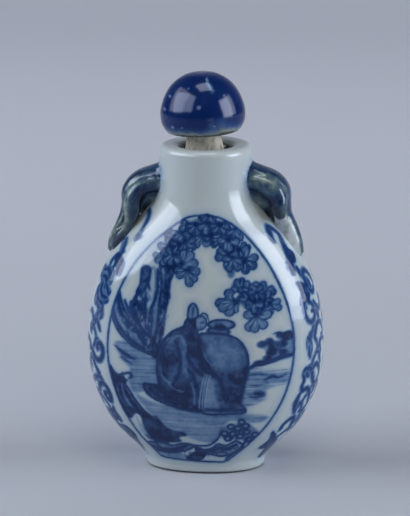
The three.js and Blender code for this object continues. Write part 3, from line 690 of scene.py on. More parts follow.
def foreground(picture):
    """Dark rock and stalks at the lower left, and a round-leaved shrub over pale rocks at the lower right."""
    picture.area(((-18.2, 22.4), (-16.8, 20.6), (-15.0, 20.4), (-14.3, 18.2), (-13.1, 15.8), (-11.4, 14.0),
                  (-9.6, 12.7), (-8.4, 12.5), (-7.0, 10.9), (-5.2, 9.8), (-3.2, 9.5), (-2.5, 8.8),
                  (-4.0, 8.2), (-3.7, 7.3), (-6.2, 6.9), (-9.2, 7.1), (-10.4, 8.4), (-11.2, 10.2),
                  (-11.8, 12.2), (-12.8, 12.8), (-13.8, 11.6), (-15.2, 12.2), (-17.0, 16.2)), 0.9, soft=0.3)
    picture.blot((-9.6, 9.9), (2.2, 1.8), 0.5, 0.8)
    picture.lift(((-15.6, 19.8), (-15.4, 17.4), (-14.4, 15.2), (-13.4, 14.0)), 0.35, 0.5)
    picture.lift(((-14.6, 18.2), (-13.2, 15.9), (-11.8, 14.2), (-10.4, 12.9)), 0.5, 0.48)
    picture.lift(((-16.6, 18.6), (-16.3, 16.6), (-15.6, 14.8)), 0.3, 0.55)
    picture.lift(((-12.7, 12.2), (-12.2, 10.6), (-11.2, 8.8), (-10.2, 7.4)), 0.5, 0.2)
    for points, width in ((((-14.4, 18.4), (-12.8, 15.8), (-11.0, 13.6), (-9.6, 12.4)), 0.45),
                          (((-17.9, 22.2), (-17.0, 20.9), (-16.0, 20.6), (-15.2, 21.2)), 0.55),
                          (((-15.6, 20.6), (-14.6, 21.2), (-13.8, 21.3), (-13.5, 20.6), (-14.0, 20.2)), 0.5),
                          (((-16.2, 19.9), (-15.2, 19.4), (-14.4, 19.8)), 0.5)):
        picture.stroke(points, width, 0.9, 0.5)
    # Rocks along the foot of the picture.
    picture.shape(((-10.6, 6.4), (-8.0, 6.7), (-5.6, 6.3), (-3.2, 6.9), (-1.2, 6.5), (-2.4, 5.4), (-5.0, 4.6),
                   (-8.4, 4.4), (-10.0, 5.2)), 0.45, 0.3, 0.85)
    picture.stroke(((-10.2, 5.6), (-7.6, 5.0), (-5.0, 5.3), (-2.8, 6.3)), 0.95, 0.9, 0.5)
    picture.stroke(((-9.9, 7.3), (-8.0, 7.2), (-6.4, 6.8)), 0.6, 0.9, 0.6)
    picture.area(((-8.6, 4.6), (-4.6, 4.8), (-2.4, 3.4), (-7.4, 3.3)), 0.32, soft=0.4)
    picture.shape(((-2.9, 3.2), (-1.9, 4.5), (-0.2, 5.3), (1.2, 4.8), (0.6, 3.4), (-0.6, 2.9)), 0.86, 0.0)
    picture.shape(((-1.0, 6.3), (0.8, 5.6), (2.4, 6.0), (3.6, 7.0), (5.2, 6.6), (7.2, 7.6), (8.4, 6.4),
                   (7.0, 5.0), (4.4, 4.0), (1.6, 4.6), (-0.4, 5.3)), 0.3, 0.36, 0.88)
    picture.stroke(((-0.6, 5.8), (1.6, 5.2), (3.6, 6.0), (5.4, 5.8), (7.2, 6.8)), 0.9, 0.86, 0.5)
    picture.stroke(((2.2, 4.6), (3.8, 5.0), (5.6, 4.6)), 0.35, 0.7, 0.6)
    picture.stroke(((5.0, 3.3), (6.6, 4.6), (8.2, 6.0), (8.9, 7.3)), 0.6, 0.88, 0.4)
    vary = np.random.default_rng(23)
    for u, v, leaning in ((-2.6, 4.0, 0.5), (-1.8, 4.9, 0.5), (-0.6, 5.5, 0.4), (0.8, 5.2, 0.3),
                          (2.2, 5.4, 0.6), (3.4, 6.2, 0.5), (4.6, 6.1, 0.1), (5.8, 6.2, 0.6), (6.8, 6.6, 0.4),
                          (-8.6, 5.6, 0.8), (-7.0, 5.2, 0.6), (-5.6, 5.4, 0.7), (-4.2, 5.9, 0.6),
                          (-9.4, 6.8, 0.9), (-10.6, 8.0, 0.9), (-9.8, 9.0, 0.9)):
        for shift in (-0.45, 0.0, 0.45):
            length = vary.uniform(0.6, 1.2)
            start = np.array([u + shift, v + vary.uniform(-0.2, 0.2)])
            end = start + np.array([leaning, -1.0]) * length
            picture.stroke((start, end), 0.22, vary.uniform(0.7, 0.9), 0.6)
    picture.stroke(((-2.2, 6.7), (0.4, 6.5), (1.9, 6.7), (3.0, 7.5), (3.8, 8.5), (4.2, 9.4)), 0.42, 0.9, 0.3)
    picture.area(((4.0, 10.0), (6.0, 11.4), (9.6, 11.4), (11.8, 9.0), (9.6, 6.8), (8.0, 8.0), (5.0, 8.0)),
                 0.42, soft=0.4)
    for centre in ((5.0, 9.4), (6.6, 9.3), (8.0, 8.7), (9.6, 7.9), (10.9, 8.9), (9.3, 9.6), (6.3, 10.9),
                   (7.6, 10.5), (9.2, 11.0), (8.4, 11.9), (11.7, 8.1), (5.6, 8.2), (10.6, 7.2)):
        round_leaf = [(centre[0] + 0.62 * math.cos(t),
                       centre[1] + 0.52 * math.sin(t)) for t in np.linspace(0, 5.2, 6)]
        picture.shape(round_leaf, 0.34, 0.34, 0.92, soft=0.1)
    for points in (((7.2, 7.8), (7.8, 9.4), (8.6, 10.4)), ((8.8, 7.2), (9.8, 8.6)), ((6.2, 7.8), (6.6, 8.8))):
        picture.stroke(points, 0.3, 0.85, 0.4)


def paint_front(u, v):
    """The framed picture on the front, from what lies behind to what lies in front."""
    picture = Painting(u, v)
    water_and_ground(picture)
    bank_and_bush(picture)
    trees_and_rocks(picture)
    bark(picture)
    leaf_mass(picture, TOP_SHADE, TOP_LEAVES, seed=4)
    leaf_mass(picture, RIGHT_SHADE, RIGHT_LEAVES, seed=9)
    lobed_leaf(picture, (7.0, 36.6), 192, 3.7, 4, 125, 0.4)
    foreground(picture)
    figure_and_jar(picture)
    draw_frame(picture)
    return picture


def paint_back(u, v):
    """A plainer companion picture for the face behind: a leafy bough and hills over level water."""
    picture = Painting(u, v)
    picture.area(((-17.0, 22.0), (-8.0, 20.5), (4.0, 21.4), (17.6, 19.6), (16.0, 14.6), (4.0, 13.2),
                  (-10.0, 14.4)), 0.36, soft=0.6, streak=0.5)
    picture.area(((-12.0, 11.2), (-2.0, 10.2), (8.0, 10.8), (11.0, 8.0), (3.0, 6.4), (-8.0, 6.8)), 0.4,
                 soft=0.5, streak=0.4)
    for points in (((-15.4, 19.2), (-11.0, 18.4), (-7.4, 18.9)), ((2.0, 17.4), (6.6, 16.8), (10.8, 17.5)),
                   ((-3.4, 13.6), (0.4, 13.1), (4.6, 13.7)), ((9.0, 13.4), (11.6, 13.0), (14.0, 13.6))):
        picture.stroke(points, 0.4, 0.8, 0.9)
    leaf_mass(picture, BACK_SHADE, BACK_LEAVES, seed=12)
    picture.stroke(((16.8, 33.8), (13.0, 36.8), (8.8, 38.4), (4.6, 41.4), (0.0, 43.4)), 1.3, 0.92, 0.4)
    picture.shape(((-17.2, 26.4), (-13.6, 32.6), (-10.6, 29.8), (-7.6, 33.4), (-4.2, 27.6), (-1.6, 24.4),
                   (-8.0, 23.0), (-16.0, 23.6)), 0.4, 0.36, 0.85)
    # Short strokes down the shaded slope of each hill.
    for u, v, rows in ((-13.3, 31.6, 4), (-7.3, 32.4, 7)):
        for k in range(rows):
            start = np.array([u + 0.52 * k, v - 1.05 * k])
            picture.stroke((start, start - (0.35, 1.2), start - (1.0, 2.4)), 0.5, 0.85, 0.7)
    picture.shape(((-9.6, 5.6), (-6.6, 9.0), (-3.2, 7.2), (1.6, 9.8), (6.0, 6.8), (8.0, 4.6), (-7.0, 3.9)),
                  0.45, 0.36, 0.88)
    picture.stroke(((-7.4, 5.4), (-3.4, 5.8), (1.4, 7.6), (5.6, 5.4)), 1.2, 0.9, 0.5)
    draw_frame(picture)
    return picture


BACK_SHADE = (
    ((-4.8, 46.2), (-1.6, 49.0), (2.6, 50.2), (6.0, 48.4), (8.8, 45.2), (7.4, 43.6), (3.6, 43.4),
     (-0.6, 43.6)),
    ((-2.6, 43.2), (0.4, 42.8), (0.8, 40.6), (-1.8, 40.0)),
)
BACK_LEAVES = tuple((u, v, heading, 2.7, 5, 185) for u, v, heading in (
    (-5.0, 47.4, 215), (-1.4, 50.2, 250), (2.2, 51.6, 265), (5.8, 50.0, 290), (8.8, 46.8, 315),
    (-2.8, 46.2, 240), (0.8, 48.4, 262), (4.6, 47.4, 280), (7.2, 44.6, 300), (-0.8, 44.4, 250),
    (2.6, 44.4, 275), (-2.4, 41.8, 240), (0.6, 41.2, 285), (10.6, 42.6, 320), (5.4, 41.6, 275),
))


def mirrored_pens(picture, side):
    """Pens for half a side's scroll, a stroke and a filled shape; side is 1 in front and -1 behind."""
    def draw(points, width, tone=0.92, taper=0.4):
        points = [(side * u, v) for u, v in points]
        picture.lift(points, width + 0.75, 0.34, taper)
        picture.stroke(points, width, tone * 0.88, taper)

    def fill(points, tone=0.88, line=0.25):
        picture.shape([(side * u, v) for u, v in points], tone * 0.85, line, 0.82, soft=0.35)

    return draw, fill


def vine(draw, stem):
    """The winding stem that joins a scroll's leaves, with a small leaf at the outside of each bend."""
    draw(stem, 0.5, 0.72, 0.1)
    for (u, v), (next_u, _next_v) in zip(stem[1:-1], stem[2:]):
        out = 1 if u > next_u else -1
        leaf = (u, v), (u + 0.7 * out, v - 0.5), (u + 1.1 * out, v - 1.7), (u + 0.5 * out, v - 2.6)
        draw(leaf, 0.95, 0.62, 0.8)


RIGHT_VINE = ((4.2, 47.2), (6.2, 43.4), (4.6, 39.8), (6.4, 36.6), (4.4, 33.2), (6.2, 29.4), (4.8, 26.0),
              (6.6, 22.6), (5.0, 18.6), (6.8, 15.0), (5.2, 11.4), (7.2, 7.6))
LEFT_VINE = ((4.6, 46.6), (6.6, 44.2), (7.4, 41.0), (6.2, 37.4), (7.8, 33.6), (6.4, 30.2), (7.8, 27.2),
             (6.2, 23.4), (7.6, 19.8), (6.4, 15.8), (7.8, 12.6), (6.2, 8.6))


def right_scroll(picture, side):
    """Curling leaves down the right side, from a crook under the handle to a spray above the foot."""
    draw, fill = mirrored_pens(picture, side)
    vine(draw, RIGHT_VINE)
    draw(((6.5, 47.5), (6.2, 48.4), (5.4, 49.2), (4.6, 49.8), (3.9, 49.4), (3.5, 48.4), (3.9, 47.2)), 0.95,
         0.94, 0.2)
    draw(((4.0, 47.6), (4.4, 46.4), (5.2, 44.8), (6.1, 43.2), (7.0, 41.8), (7.6, 41.0)), 1.35, 0.93, 0.6)
    fill(((5.0, 45.2), (4.2, 45.4), (3.3, 44.8), (3.7, 43.8), (4.7, 43.0), (5.6, 43.4)))
    draw(((5.3, 41.9), (5.2, 40.8), (4.7, 39.6), (4.8, 38.4)), 0.95, 0.9, 0.3)
    draw(((4.8, 40.4), (3.7, 41.0), (2.6, 40.8), (1.8, 39.8), (1.4, 38.4)), 0.9, 0.88, 0.4)
    fill(((7.7, 39.1), (6.7, 39.3), (5.4, 38.6), (4.3, 37.9), (4.6, 36.8), (5.4, 35.8), (6.1, 34.8),
          (6.5, 35.6), (7.2, 35.2), (8.4, 35.1), (7.8, 36.4), (7.3, 37.4)), 0.93)
    draw(((7.3, 35.6), (7.8, 34.2), (7.7, 32.6), (6.9, 31.4), (5.7, 31.3), (4.8, 32.2), (4.9, 33.2),
          (5.6, 33.3)), 0.75)
    draw(((4.6, 37.6), (3.8, 36.9), (2.8, 37.0), (1.9, 37.6)), 0.8, 0.85)
    draw(((4.2, 35.0), (3.4, 34.0), (2.3, 33.3), (1.2, 33.6), (0.6, 34.6), (1.0, 35.6)), 0.85, 0.88)
    draw(((1.9, 30.2), (3.2, 30.7), (4.5, 30.4), (5.2, 29.2), (5.7, 28.0), (5.1, 27.1)), 0.75)
    draw(((2.4, 30.0), (1.6, 29.0), (1.9, 27.9), (2.8, 28.0)), 0.6)
    fill(((8.0, 28.3), (8.3, 26.9), (8.0, 25.3), (7.4, 24.0), (6.9, 25.1), (6.7, 26.5), (7.3, 27.6)), 0.6)
    draw(((7.7, 26.6), (7.5, 25.2), (7.3, 24.2)), 0.5, 0.88, 0.2)
    draw(((0.8, 26.7), (2.2, 27.2), (3.5, 26.9), (3.6, 25.8), (3.2, 24.6)), 0.65)
    draw(((5.6, 24.8), (4.8, 24.9), (4.0, 24.5), (3.6, 23.4), (3.1, 22.3)), 0.6, 0.85)
    draw(((8.9, 20.9), (8.4, 21.9), (7.4, 21.9), (6.6, 21.5), (6.2, 20.8), (5.9, 19.8), (5.2, 18.8),
          (4.0, 18.2)), 0.8)
    draw(((6.1, 21.5), (5.3, 22.4), (4.2, 22.0), (3.3, 21.0), (3.1, 19.8), (3.6, 18.9)), 0.75)
    draw(((8.8, 20.8), (8.3, 19.6), (8.5, 18.4), (8.0, 17.4), (7.0, 17.7), (6.0, 17.2), (5.2, 16.2),
          (4.6, 14.9), (4.5, 13.7), (5.3, 12.8), (6.4, 12.9)), 0.75)
    draw(((3.6, 18.6), (2.6, 17.9), (2.0, 16.6), (2.3, 15.3), (3.3, 15.0)), 0.7)
    draw(((8.5, 17.2), (8.7, 15.6), (8.5, 14.4), (8.2, 13.1)), 1.0, 0.92, 0.75)
    draw(((8.5, 9.2), (8.7, 10.4), (7.9, 11.5), (7.0, 11.6), (6.4, 10.7), (6.0, 9.6), (5.3, 8.6)), 0.75, 0.88)
    draw(((4.4, 12.4), (3.4, 11.6), (2.4, 10.2), (1.2, 9.6)), 0.8, 0.85)
    fill(((10.2, 9.1), (8.9, 8.4), (7.6, 7.4), (6.4, 6.7), (5.1, 5.5), (4.0, 4.4), (3.3, 3.4), (3.9, 2.6),
          (5.1, 2.9), (6.3, 4.9), (7.6, 5.1), (8.7, 5.6), (8.9, 7.2)), 0.92)
    draw(((3.8, 3.7), (2.4, 4.4), (1.0, 5.4), (0.0, 6.8)), 0.9, 0.85, 0.5)


def left_scroll(picture, side):
    """The left side's foliage: a leafy tuft under the handle, then two open curls and a leaf at the foot."""
    draw, fill = mirrored_pens(picture, side)
    vine(draw, LEFT_VINE)
    draw(((3.0, 52.6), (4.9, 52.0), (6.3, 50.8), (7.2, 49.4), (8.0, 48.1)), 0.6, 0.72, 0.4)
    draw(((7.5, 48.3), (8.0, 47.7), (8.5, 47.8)), 0.8, 0.7, 0.2)
    draw(((5.0, 46.9), (6.0, 46.0), (6.7, 44.9), (7.5, 44.6)), 0.6, 0.8, 0.3)
    fill(((5.8, 43.9), (7.1, 44.1), (8.4, 43.4), (9.6, 42.7), (10.2, 41.5), (10.3, 40.5), (9.6, 40.4),
          (8.7, 41.4), (7.3, 42.3), (6.4, 43.1)), 0.9)
    fill(((3.4, 41.2), (4.8, 41.1), (6.0, 41.6), (7.4, 41.2), (8.4, 40.8), (8.6, 39.8), (9.1, 38.8),
          (9.0, 37.8), (9.8, 36.9), (9.6, 35.9), (9.9, 34.9), (9.0, 34.3), (8.7, 33.0), (7.7, 32.5),
          (6.7, 33.4), (5.4, 33.7), (4.7, 34.8), (5.3, 35.8), (4.9, 36.8), (5.6, 37.8), (4.9, 38.8),
          (3.8, 39.4)), 0.72)
    for points, width in ((((4.4, 40.5), (6.0, 40.9), (7.6, 40.2), (8.4, 38.9)), 0.8),
                          (((5.2, 39.4), (6.6, 39.4), (7.6, 38.6), (7.6, 37.4)), 0.7),
                          (((6.4, 38.2), (6.6, 36.8), (7.6, 35.8), (9.0, 35.6)), 0.75),
                          (((9.3, 36.4), (8.6, 37.4), (7.9, 38.2)), 0.6),
                          (((5.4, 36.6), (6.0, 35.2), (7.2, 34.4), (8.4, 34.3)), 0.8),
                          (((6.0, 34.2), (7.0, 33.6), (7.9, 33.2)), 0.6)):
        draw(points, width, 0.93, 0.3)
    draw(((7.6, 32.4), (7.5, 31.2), (8.2, 30.1), (9.1, 28.8)), 0.8, 0.88, 0.5)
    draw(((7.6, 31.0), (6.8, 30.2), (6.2, 29.2), (5.7, 28.4)), 0.95, 0.82, 0.5)
    draw(((3.4, 31.9), (4.8, 32.1), (5.7, 31.2), (6.4, 30.2)), 0.7, 0.7, 0.4)
    draw(((8.4, 25.1), (8.4, 25.9), (9.2, 26.3), (10.0, 25.5), (10.1, 24.3), (9.6, 23.2), (8.6, 22.7),
          (7.5, 23.0), (6.9, 23.8), (6.2, 24.6), (5.2, 24.6)), 0.85, 0.92, 0.15)
    draw(((2.0, 26.4), (3.6, 26.6), (5.0, 26.0), (5.6, 25.0)), 0.8, 0.85)
    draw(((6.1, 23.2), (6.7, 22.0), (7.4, 21.0), (8.4, 20.0)), 0.7, 0.92, 0.3)
    draw(((6.2, 22.8), (5.0, 22.2), (4.4, 21.0), (4.8, 19.8)), 0.7, 0.85)
    draw(((3.9, 17.6), (5.2, 18.2), (6.6, 18.9), (7.6, 19.0)), 0.8, 0.88, 0.5)
    draw(((6.7, 16.5), (7.6, 17.6), (8.7, 18.0), (9.7, 17.2), (9.9, 15.8), (9.3, 14.6), (8.5, 14.8),
          (8.2, 15.7), (8.8, 16.1)), 0.85, 0.92, 0.15)
    draw(((6.6, 16.4), (5.6, 15.8), (4.2, 15.6), (3.2, 14.6)), 0.7, 0.85, 0.4)
    fill(((5.3, 11.9), (6.4, 12.5), (7.6, 12.0), (8.5, 12.6), (9.3, 13.4), (9.0, 11.6), (8.3, 10.6),
          (7.3, 10.3), (6.3, 10.8)), 0.85)
    draw(((3.0, 10.6), (4.2, 11.0), (5.6, 10.4), (6.6, 9.4)), 0.7, 0.8)
    fill(((6.2, 8.7), (7.8, 9.3), (9.4, 9.2), (9.9, 8.0), (8.9, 6.9), (7.6, 5.6), (6.0, 4.2), (4.4, 3.0),
          (2.8, 2.6), (3.8, 4.0), (5.6, 5.8), (6.8, 7.2)), 0.88)


def paint_side(half):
    """The whole side: the half seen from the front and its mirror image behind."""
    def paint(u, v):
        picture = Painting(u, v)
        half(picture, 1)
        half(picture, -1)
        for outline in (((0.0, 46.8), (0.9, 45.0), (0.0, 43.4), (-0.9, 45.0)),
                        ((0.0, 32.6), (0.9, 31.2), (0.0, 29.6), (-0.9, 31.2)),
                        ((0.0, 23.6), (0.9, 22.0), (0.0, 20.2), (-0.9, 22.0)),
                        ((0.0, 14.6), (0.9, 12.8), (0.0, 11.0), (-0.9, 12.8))):
            picture.shape(outline, 0.7, 0.25)
        return picture

    return paint


def side_lengths(points):
    """How far round the surface each point is from the middle of its narrow side, more than 0 in front."""
    rings = points.reshape(-1, COLUMNS, 3)
    steps = np.linalg.norm(np.diff(np.concatenate([rings, rings[:, :1]], axis=1), axis=1)[..., :2], axis=-1)
    along = np.concatenate([np.zeros((len(rings), 1)), np.cumsum(steps, axis=1)], axis=1)
    whole = along[:, -1:]
    right = along[:, :-1]
    right = np.where(right > whole / 2, right - whole, right)
    left = along[:, :-1] - whole / 2
    return -right.ravel(), left.ravel()


PAINTED_TO_HEIGHT = 56
PICTURE_REACH = 20.5
SCROLL_REACH = 12


def paint_flask():
    """Wash, line distance and line tone at every point of the flask's outside."""
    x, y, z = flask_points[:outer_count].T
    right, left = side_lengths(flask_points[:outer_count])
    total = len(flask_points)
    wash, line, tone = np.zeros(total), np.full(total, NO_LINE_NEAR), np.zeros(total)
    painted = z < PAINTED_TO_HEIGHT
    broad_face = painted & (np.abs(x) < PICTURE_REACH)
    regions = (
        (broad_face & (y < 0), paint_front, x),
        (broad_face & (y > 0), paint_back, -x),
        (painted & (x > 0) & (np.abs(right) < SCROLL_REACH), paint_side(right_scroll), right),
        (painted & (x < 0) & (np.abs(left) < SCROLL_REACH), paint_side(left_scroll), left),
    )
    for region, paint, u in regions:
        pick = np.nonzero(region)[0]
        picture = paint(u[pick], z[pick])
        wash[pick] = 1 - (1 - wash[pick]) * (1 - picture.wash)
        closer = picture.line < line[pick]
        tone[pick[closer]] = picture.tone[closer]
        line[pick[closer]] = picture.line[closer]
    return wash, line, tone


def store(obj, name, values):
    """Keeps one number for each point of a mesh, for its material to read."""
    obj.data.attributes.new(name, "FLOAT", "POINT").data.foreach_set("value", np.asarray(values, np.float32))


FOOT_CLAY_AND_SHADOW_HEIGHT = 0.7
BORE_RADIUS = 5.45
BORE_SHADE = 0.45
BORE_DROP = 0.2

for name, values in zip(("wash", "line", "line_tone"), paint_flask()):
    store(flask, name, values)
# The foot attribute darkens the bare foot ring and the glaze just above it: bare clay, and painted contact
# shadow.
store(flask, "foot", np.clip(1 - flask_points[:, 2] / FOOT_CLAY_AND_SHADOW_HEIGHT, 0, 1))
# Inside the mouth the glaze is painted dark, as painted shade for the hollow bore, fading out towards its
# edge.
bore_reach = np.hypot(flask_points[:, 0], flask_points[:, 1])
past_lip = np.arange(len(flask_points)) >= outer_count - (len(MOUTH_RINGS) - 1) * COLUMNS
in_bore = past_lip & (flask_points[:, 2] < LIP_HEIGHT - BORE_DROP)
store(flask, "painted_bore_shade", np.where(in_bore, np.clip((BORE_RADIUS - bore_reach) / BORE_SHADE, 0, 1), 0))


def from_hex(code):
    """A colour written as sRGB hex, as the linear values that the shaders use."""
    channels = [int(code[k : k + 2], 16) / 255 for k in (0, 2, 4)]
    return (*[c / 12.92 if c <= 0.04045 else ((c + 0.055) / 1.055) ** 2.4 for c in channels], 1.0)


def add_node(tree, kind, inputs=(), output=0, stops=(), **settings):
    """Adds a node and returns one of its outputs.

    Its inputs, in order or by name, are linked to a socket or set to a value, and stops fill a colour ramp.
    """
    node = tree.nodes.new(kind)
    for name, value in settings.items():
        setattr(node, name, value)
    for place, value in inputs.items() if isinstance(inputs, dict) else enumerate(inputs):
        if isinstance(value, bpy.types.NodeSocket):
            tree.links.new(value, node.inputs[place])
        else:
            node.inputs[place].default_value = value
    if stops:
        ramp = node.color_ramp.elements
        ramp.remove(ramp[1])
        ramp[0].position = stops[0][0]
        for position, _code in stops[1:]:
            ramp.new(position)
        for element, (_position, code) in zip(ramp, stops):
            element.color = from_hex(code)
    return node.outputs[output]


def new_material(name):
    """A material with its node tree and its Principled shader's inputs."""
    material = bpy.data.materials.new(name)
    material.use_nodes = True
    return material, material.node_tree, material.node_tree.nodes["Principled BSDF"].inputs


# Blue-and-white porcelain: cobalt brushed on the clay under a clear, faintly blue glaze, fired to a high
# gloss. Lines pool and break a little, washes are mottled, and cobalt spreads into the glaze, so each line
# has a soft blue edge and the white near it is bluer. The foot ring has the grey of bare clay, and the dark
# band carried just above it is painted contact shadow.
GLAZE_IOR = 1.43
GLAZE_RIPPLE = 0.012 * MM
# From bare glaze through thin washes to the cobalt of a loaded brush.
COBALT_STOPS = (
    (0.00, "C9D4D6"), (0.15, "A9BFD0"), (0.30, "84A0BF"), (0.45, "6486AF"), (0.60, "476B9A"),
    (0.75, "315183"), (0.90, "1F3B6E"), (1.00, "142B58"),
)
porcelain, tree, shader = new_material("blue-and-white porcelain, brushed and glazed")
shader["IOR"].default_value = GLAZE_IOR
shader["Roughness"].default_value = 0.06
place = add_node(tree, "ShaderNodeTexCoord", output="Object")
line, line_tone, wash, bleed, foot, painted_bore_shade = [
    add_node(tree, "ShaderNodeAttribute", output="Fac", attribute_name=name)
    for name in ("line", "line_tone", "wash", "bleed", "foot", "painted_bore_shade")
]
# Each unevenness by the size of its blotches in millimetres.
ragged_edge, pooling, mottling, spotting, waviness = [
    add_node(tree, "ShaderNodeTexNoise", {"Vector": place, "Scale": 1 / (size * MM), "Detail": detail,
                                          "Roughness": rough})
    for size, detail, rough in ((0.9, 3.0, 0.5), (2.6, 3.0, 0.5), (1.7, 4.0, 0.6), (2.6, 2.0, 0.5),
                                (4.5, 2.0, 0.5))
]
wobble = add_node(tree, "ShaderNodeMath", (ragged_edge, 0.22, -0.11), operation="MULTIPLY_ADD")
edge = add_node(tree, "ShaderNodeMath", (line, wobble), operation="ADD")
covered, pooled, mottle, near_halo, far_halo, spotted, bare_clay_and_painted_shadow = [
    add_node(tree, "ShaderNodeMapRange", limits, interpolation_type="SMOOTHSTEP") for limits in (
        (edge, 0.11, -0.09), (pooling, 0.3, 0.7, 0.8, 1.06), (mottling, 0.3, 0.7, 0.8, 1.12),
        (edge, 0.0, 0.5, 0.15, 0.0), (line, 0.0, 1.9, 0.09, 0.0), (spotting, 0.3, 0.7, 0.35, 1.0),
        (foot, 0.15, 0.7),
    )
]
loaded = add_node(tree, "ShaderNodeMath", (covered, line_tone), operation="MULTIPLY")
drawn = add_node(tree, "ShaderNodeMath", (loaded, pooled), operation="MULTIPLY")
mottled = add_node(tree, "ShaderNodeMath", (wash, mottle), operation="MULTIPLY", use_clamp=True)
halo = add_node(tree, "ShaderNodeMath", (near_halo, far_halo), operation="ADD")
washed = add_node(tree, "ShaderNodeMath", (mottled, halo), operation="ADD", use_clamp=True)
bled = add_node(tree, "ShaderNodeMath", (bleed, spotted), operation="MULTIPLY")
# What each layer leaves bare is multiplied, as one thin layer over another is.
bare_of_line = add_node(tree, "ShaderNodeMath", (1.0, drawn), operation="SUBTRACT", use_clamp=True)
bare_of_wash = add_node(tree, "ShaderNodeMath", (1.0, washed), operation="SUBTRACT")
bare_of_bleed = add_node(tree, "ShaderNodeMath", (bled, -0.5, 1.0), operation="MULTIPLY_ADD")
bare = add_node(tree, "ShaderNodeMath", (bare_of_wash, bare_of_bleed), operation="MULTIPLY")
bare = add_node(tree, "ShaderNodeMath", (bare_of_line, bare), operation="MULTIPLY")
density = add_node(tree, "ShaderNodeMath", (1.0, bare), operation="SUBTRACT")
colour = add_node(tree, "ShaderNodeValToRGB", (density,), stops=COBALT_STOPS)
line_share = add_node(tree, "ShaderNodeMath", (drawn, 0.36), operation="MULTIPLY")
# The last mix paints shade inside the mouth.
for share, code in ((line_share, "1A4788"), (bare_clay_and_painted_shadow, "3D3833"), (painted_bore_shade, "3E3830")):
    colour = add_node(tree, "ShaderNodeMix", {0: share, 6: colour, 7: from_hex(code)}, 2, data_type="RGBA")
tree.links.new(colour, shader["Base Color"])
ripple = add_node(tree, "ShaderNodeBump", {"Strength": 1.0, "Distance": GLAZE_RIPPLE, "Height": waviness})
tree.links.new(ripple, shader["Normal"])
flask.data.materials.append(porcelain)


# ---- The handles --------------------------------------------------------------------------------
# A pair of small moulded scroll handles of the same porcelain, luted to the neck and the shoulder before
# firing: a head arched out from the neck, a trunk down the shoulder, a curl under the arch, and ear lobes.

# Each bar follows points (outward, sideways, height) with a half thickness across its bend and a half
# breadth along the bottle's depth, in millimetres. The two were trimmed by hand and differ a little.
RIGHT_HANDLE = {
    "arch": (
        ((7.4, 0.0, 59.4), 3.3, 3.6),
        ((10.4, 0.0, 59.1), 2.35, 3.5),
        ((13.4, 0.0, 58.1), 2.1, 3.5),
        ((15.0, 0.0, 56.2), 1.95, 3.4),
        ((15.45, 0.0, 53.8), 1.6, 3.0),
        ((15.35, 0.0, 51.3), 2.0, 2.6),
        ((16.6, 0.0, 48.4), 1.95, 2.4),
        ((17.7, 0.0, 45.6), 1.75, 2.1),
        ((18.6, 0.0, 43.4), 1.1, 1.5),
    ),
    "curl": (
        ((7.4, 0.0, 56.0), 1.9, 2.9),
        ((10.3, 0.0, 55.6), 2.0, 3.0),
        ((12.2, 0.0, 54.3), 1.8, 2.6),
        ((13.2, 0.0, 52.8), 1.6, 2.2),
        ((13.75, 0.0, 51.2), 1.5, 1.9),
    ),
    "ear": (
        ((8.8, 2.4, 58.6), 1.6, 1.5),
        ((11.8, 2.9, 58.1), 1.7, 1.6),
        ((13.9, 3.3, 56.9), 1.8, 1.6),
        ((14.8, 3.6, 55.1), 1.75, 1.5),
        ((15.0, 3.8, 53.2), 1.4, 1.4),
        ((15.5, 3.8, 51.5), 0.8, 0.9),
    ),
}
LEFT_HANDLE = {
    "arch": (
        ((7.4, 0.0, 58.9), 3.3, 3.6),
        ((10.3, 0.0, 58.7), 2.3, 3.5),
        ((13.1, 0.0, 57.7), 2.1, 3.5),
        ((14.8, 0.0, 55.7), 1.95, 3.4),
        ((15.2, 0.0, 53.4), 1.6, 3.0),
        ((16.0, 0.0, 50.9), 1.25, 2.6),
        ((17.1, 0.0, 48.3), 1.15, 2.4),
        ((18.2, 0.0, 45.8), 1.2, 2.2),
        ((18.9, 0.0, 43.6), 0.8, 1.6),
    ),
    "curl": (
        ((7.4, 0.0, 56.0), 1.8, 2.9),
        ((9.9, 0.0, 55.8), 1.7, 3.0),
        ((11.7, 0.0, 54.7), 1.6, 2.6),
        ((12.6, 0.0, 53.2), 1.3, 2.2),
        ((12.9, 0.0, 51.6), 1.35, 1.9),
    ),
    "ear": (
        ((8.8, 2.4, 57.9), 1.6, 1.5),
        ((11.6, 2.9, 57.5), 1.6, 1.6),
        ((13.4, 3.4, 56.3), 1.6, 1.6),
        ((14.2, 3.8, 54.5), 1.55, 1.5),
        ((14.3, 3.9, 52.4), 1.5, 1.4),
        ((14.7, 3.8, 50.5), 1.1, 1.2),
        ((15.4, 3.5, 48.8), 1.0, 1.1),
        ((16.7, 3.0, 46.8), 1.3, 1.3),
        ((18.0, 2.2, 44.6), 1.0, 1.1),
    ),
}
GLAZE_FILLET = 1.0


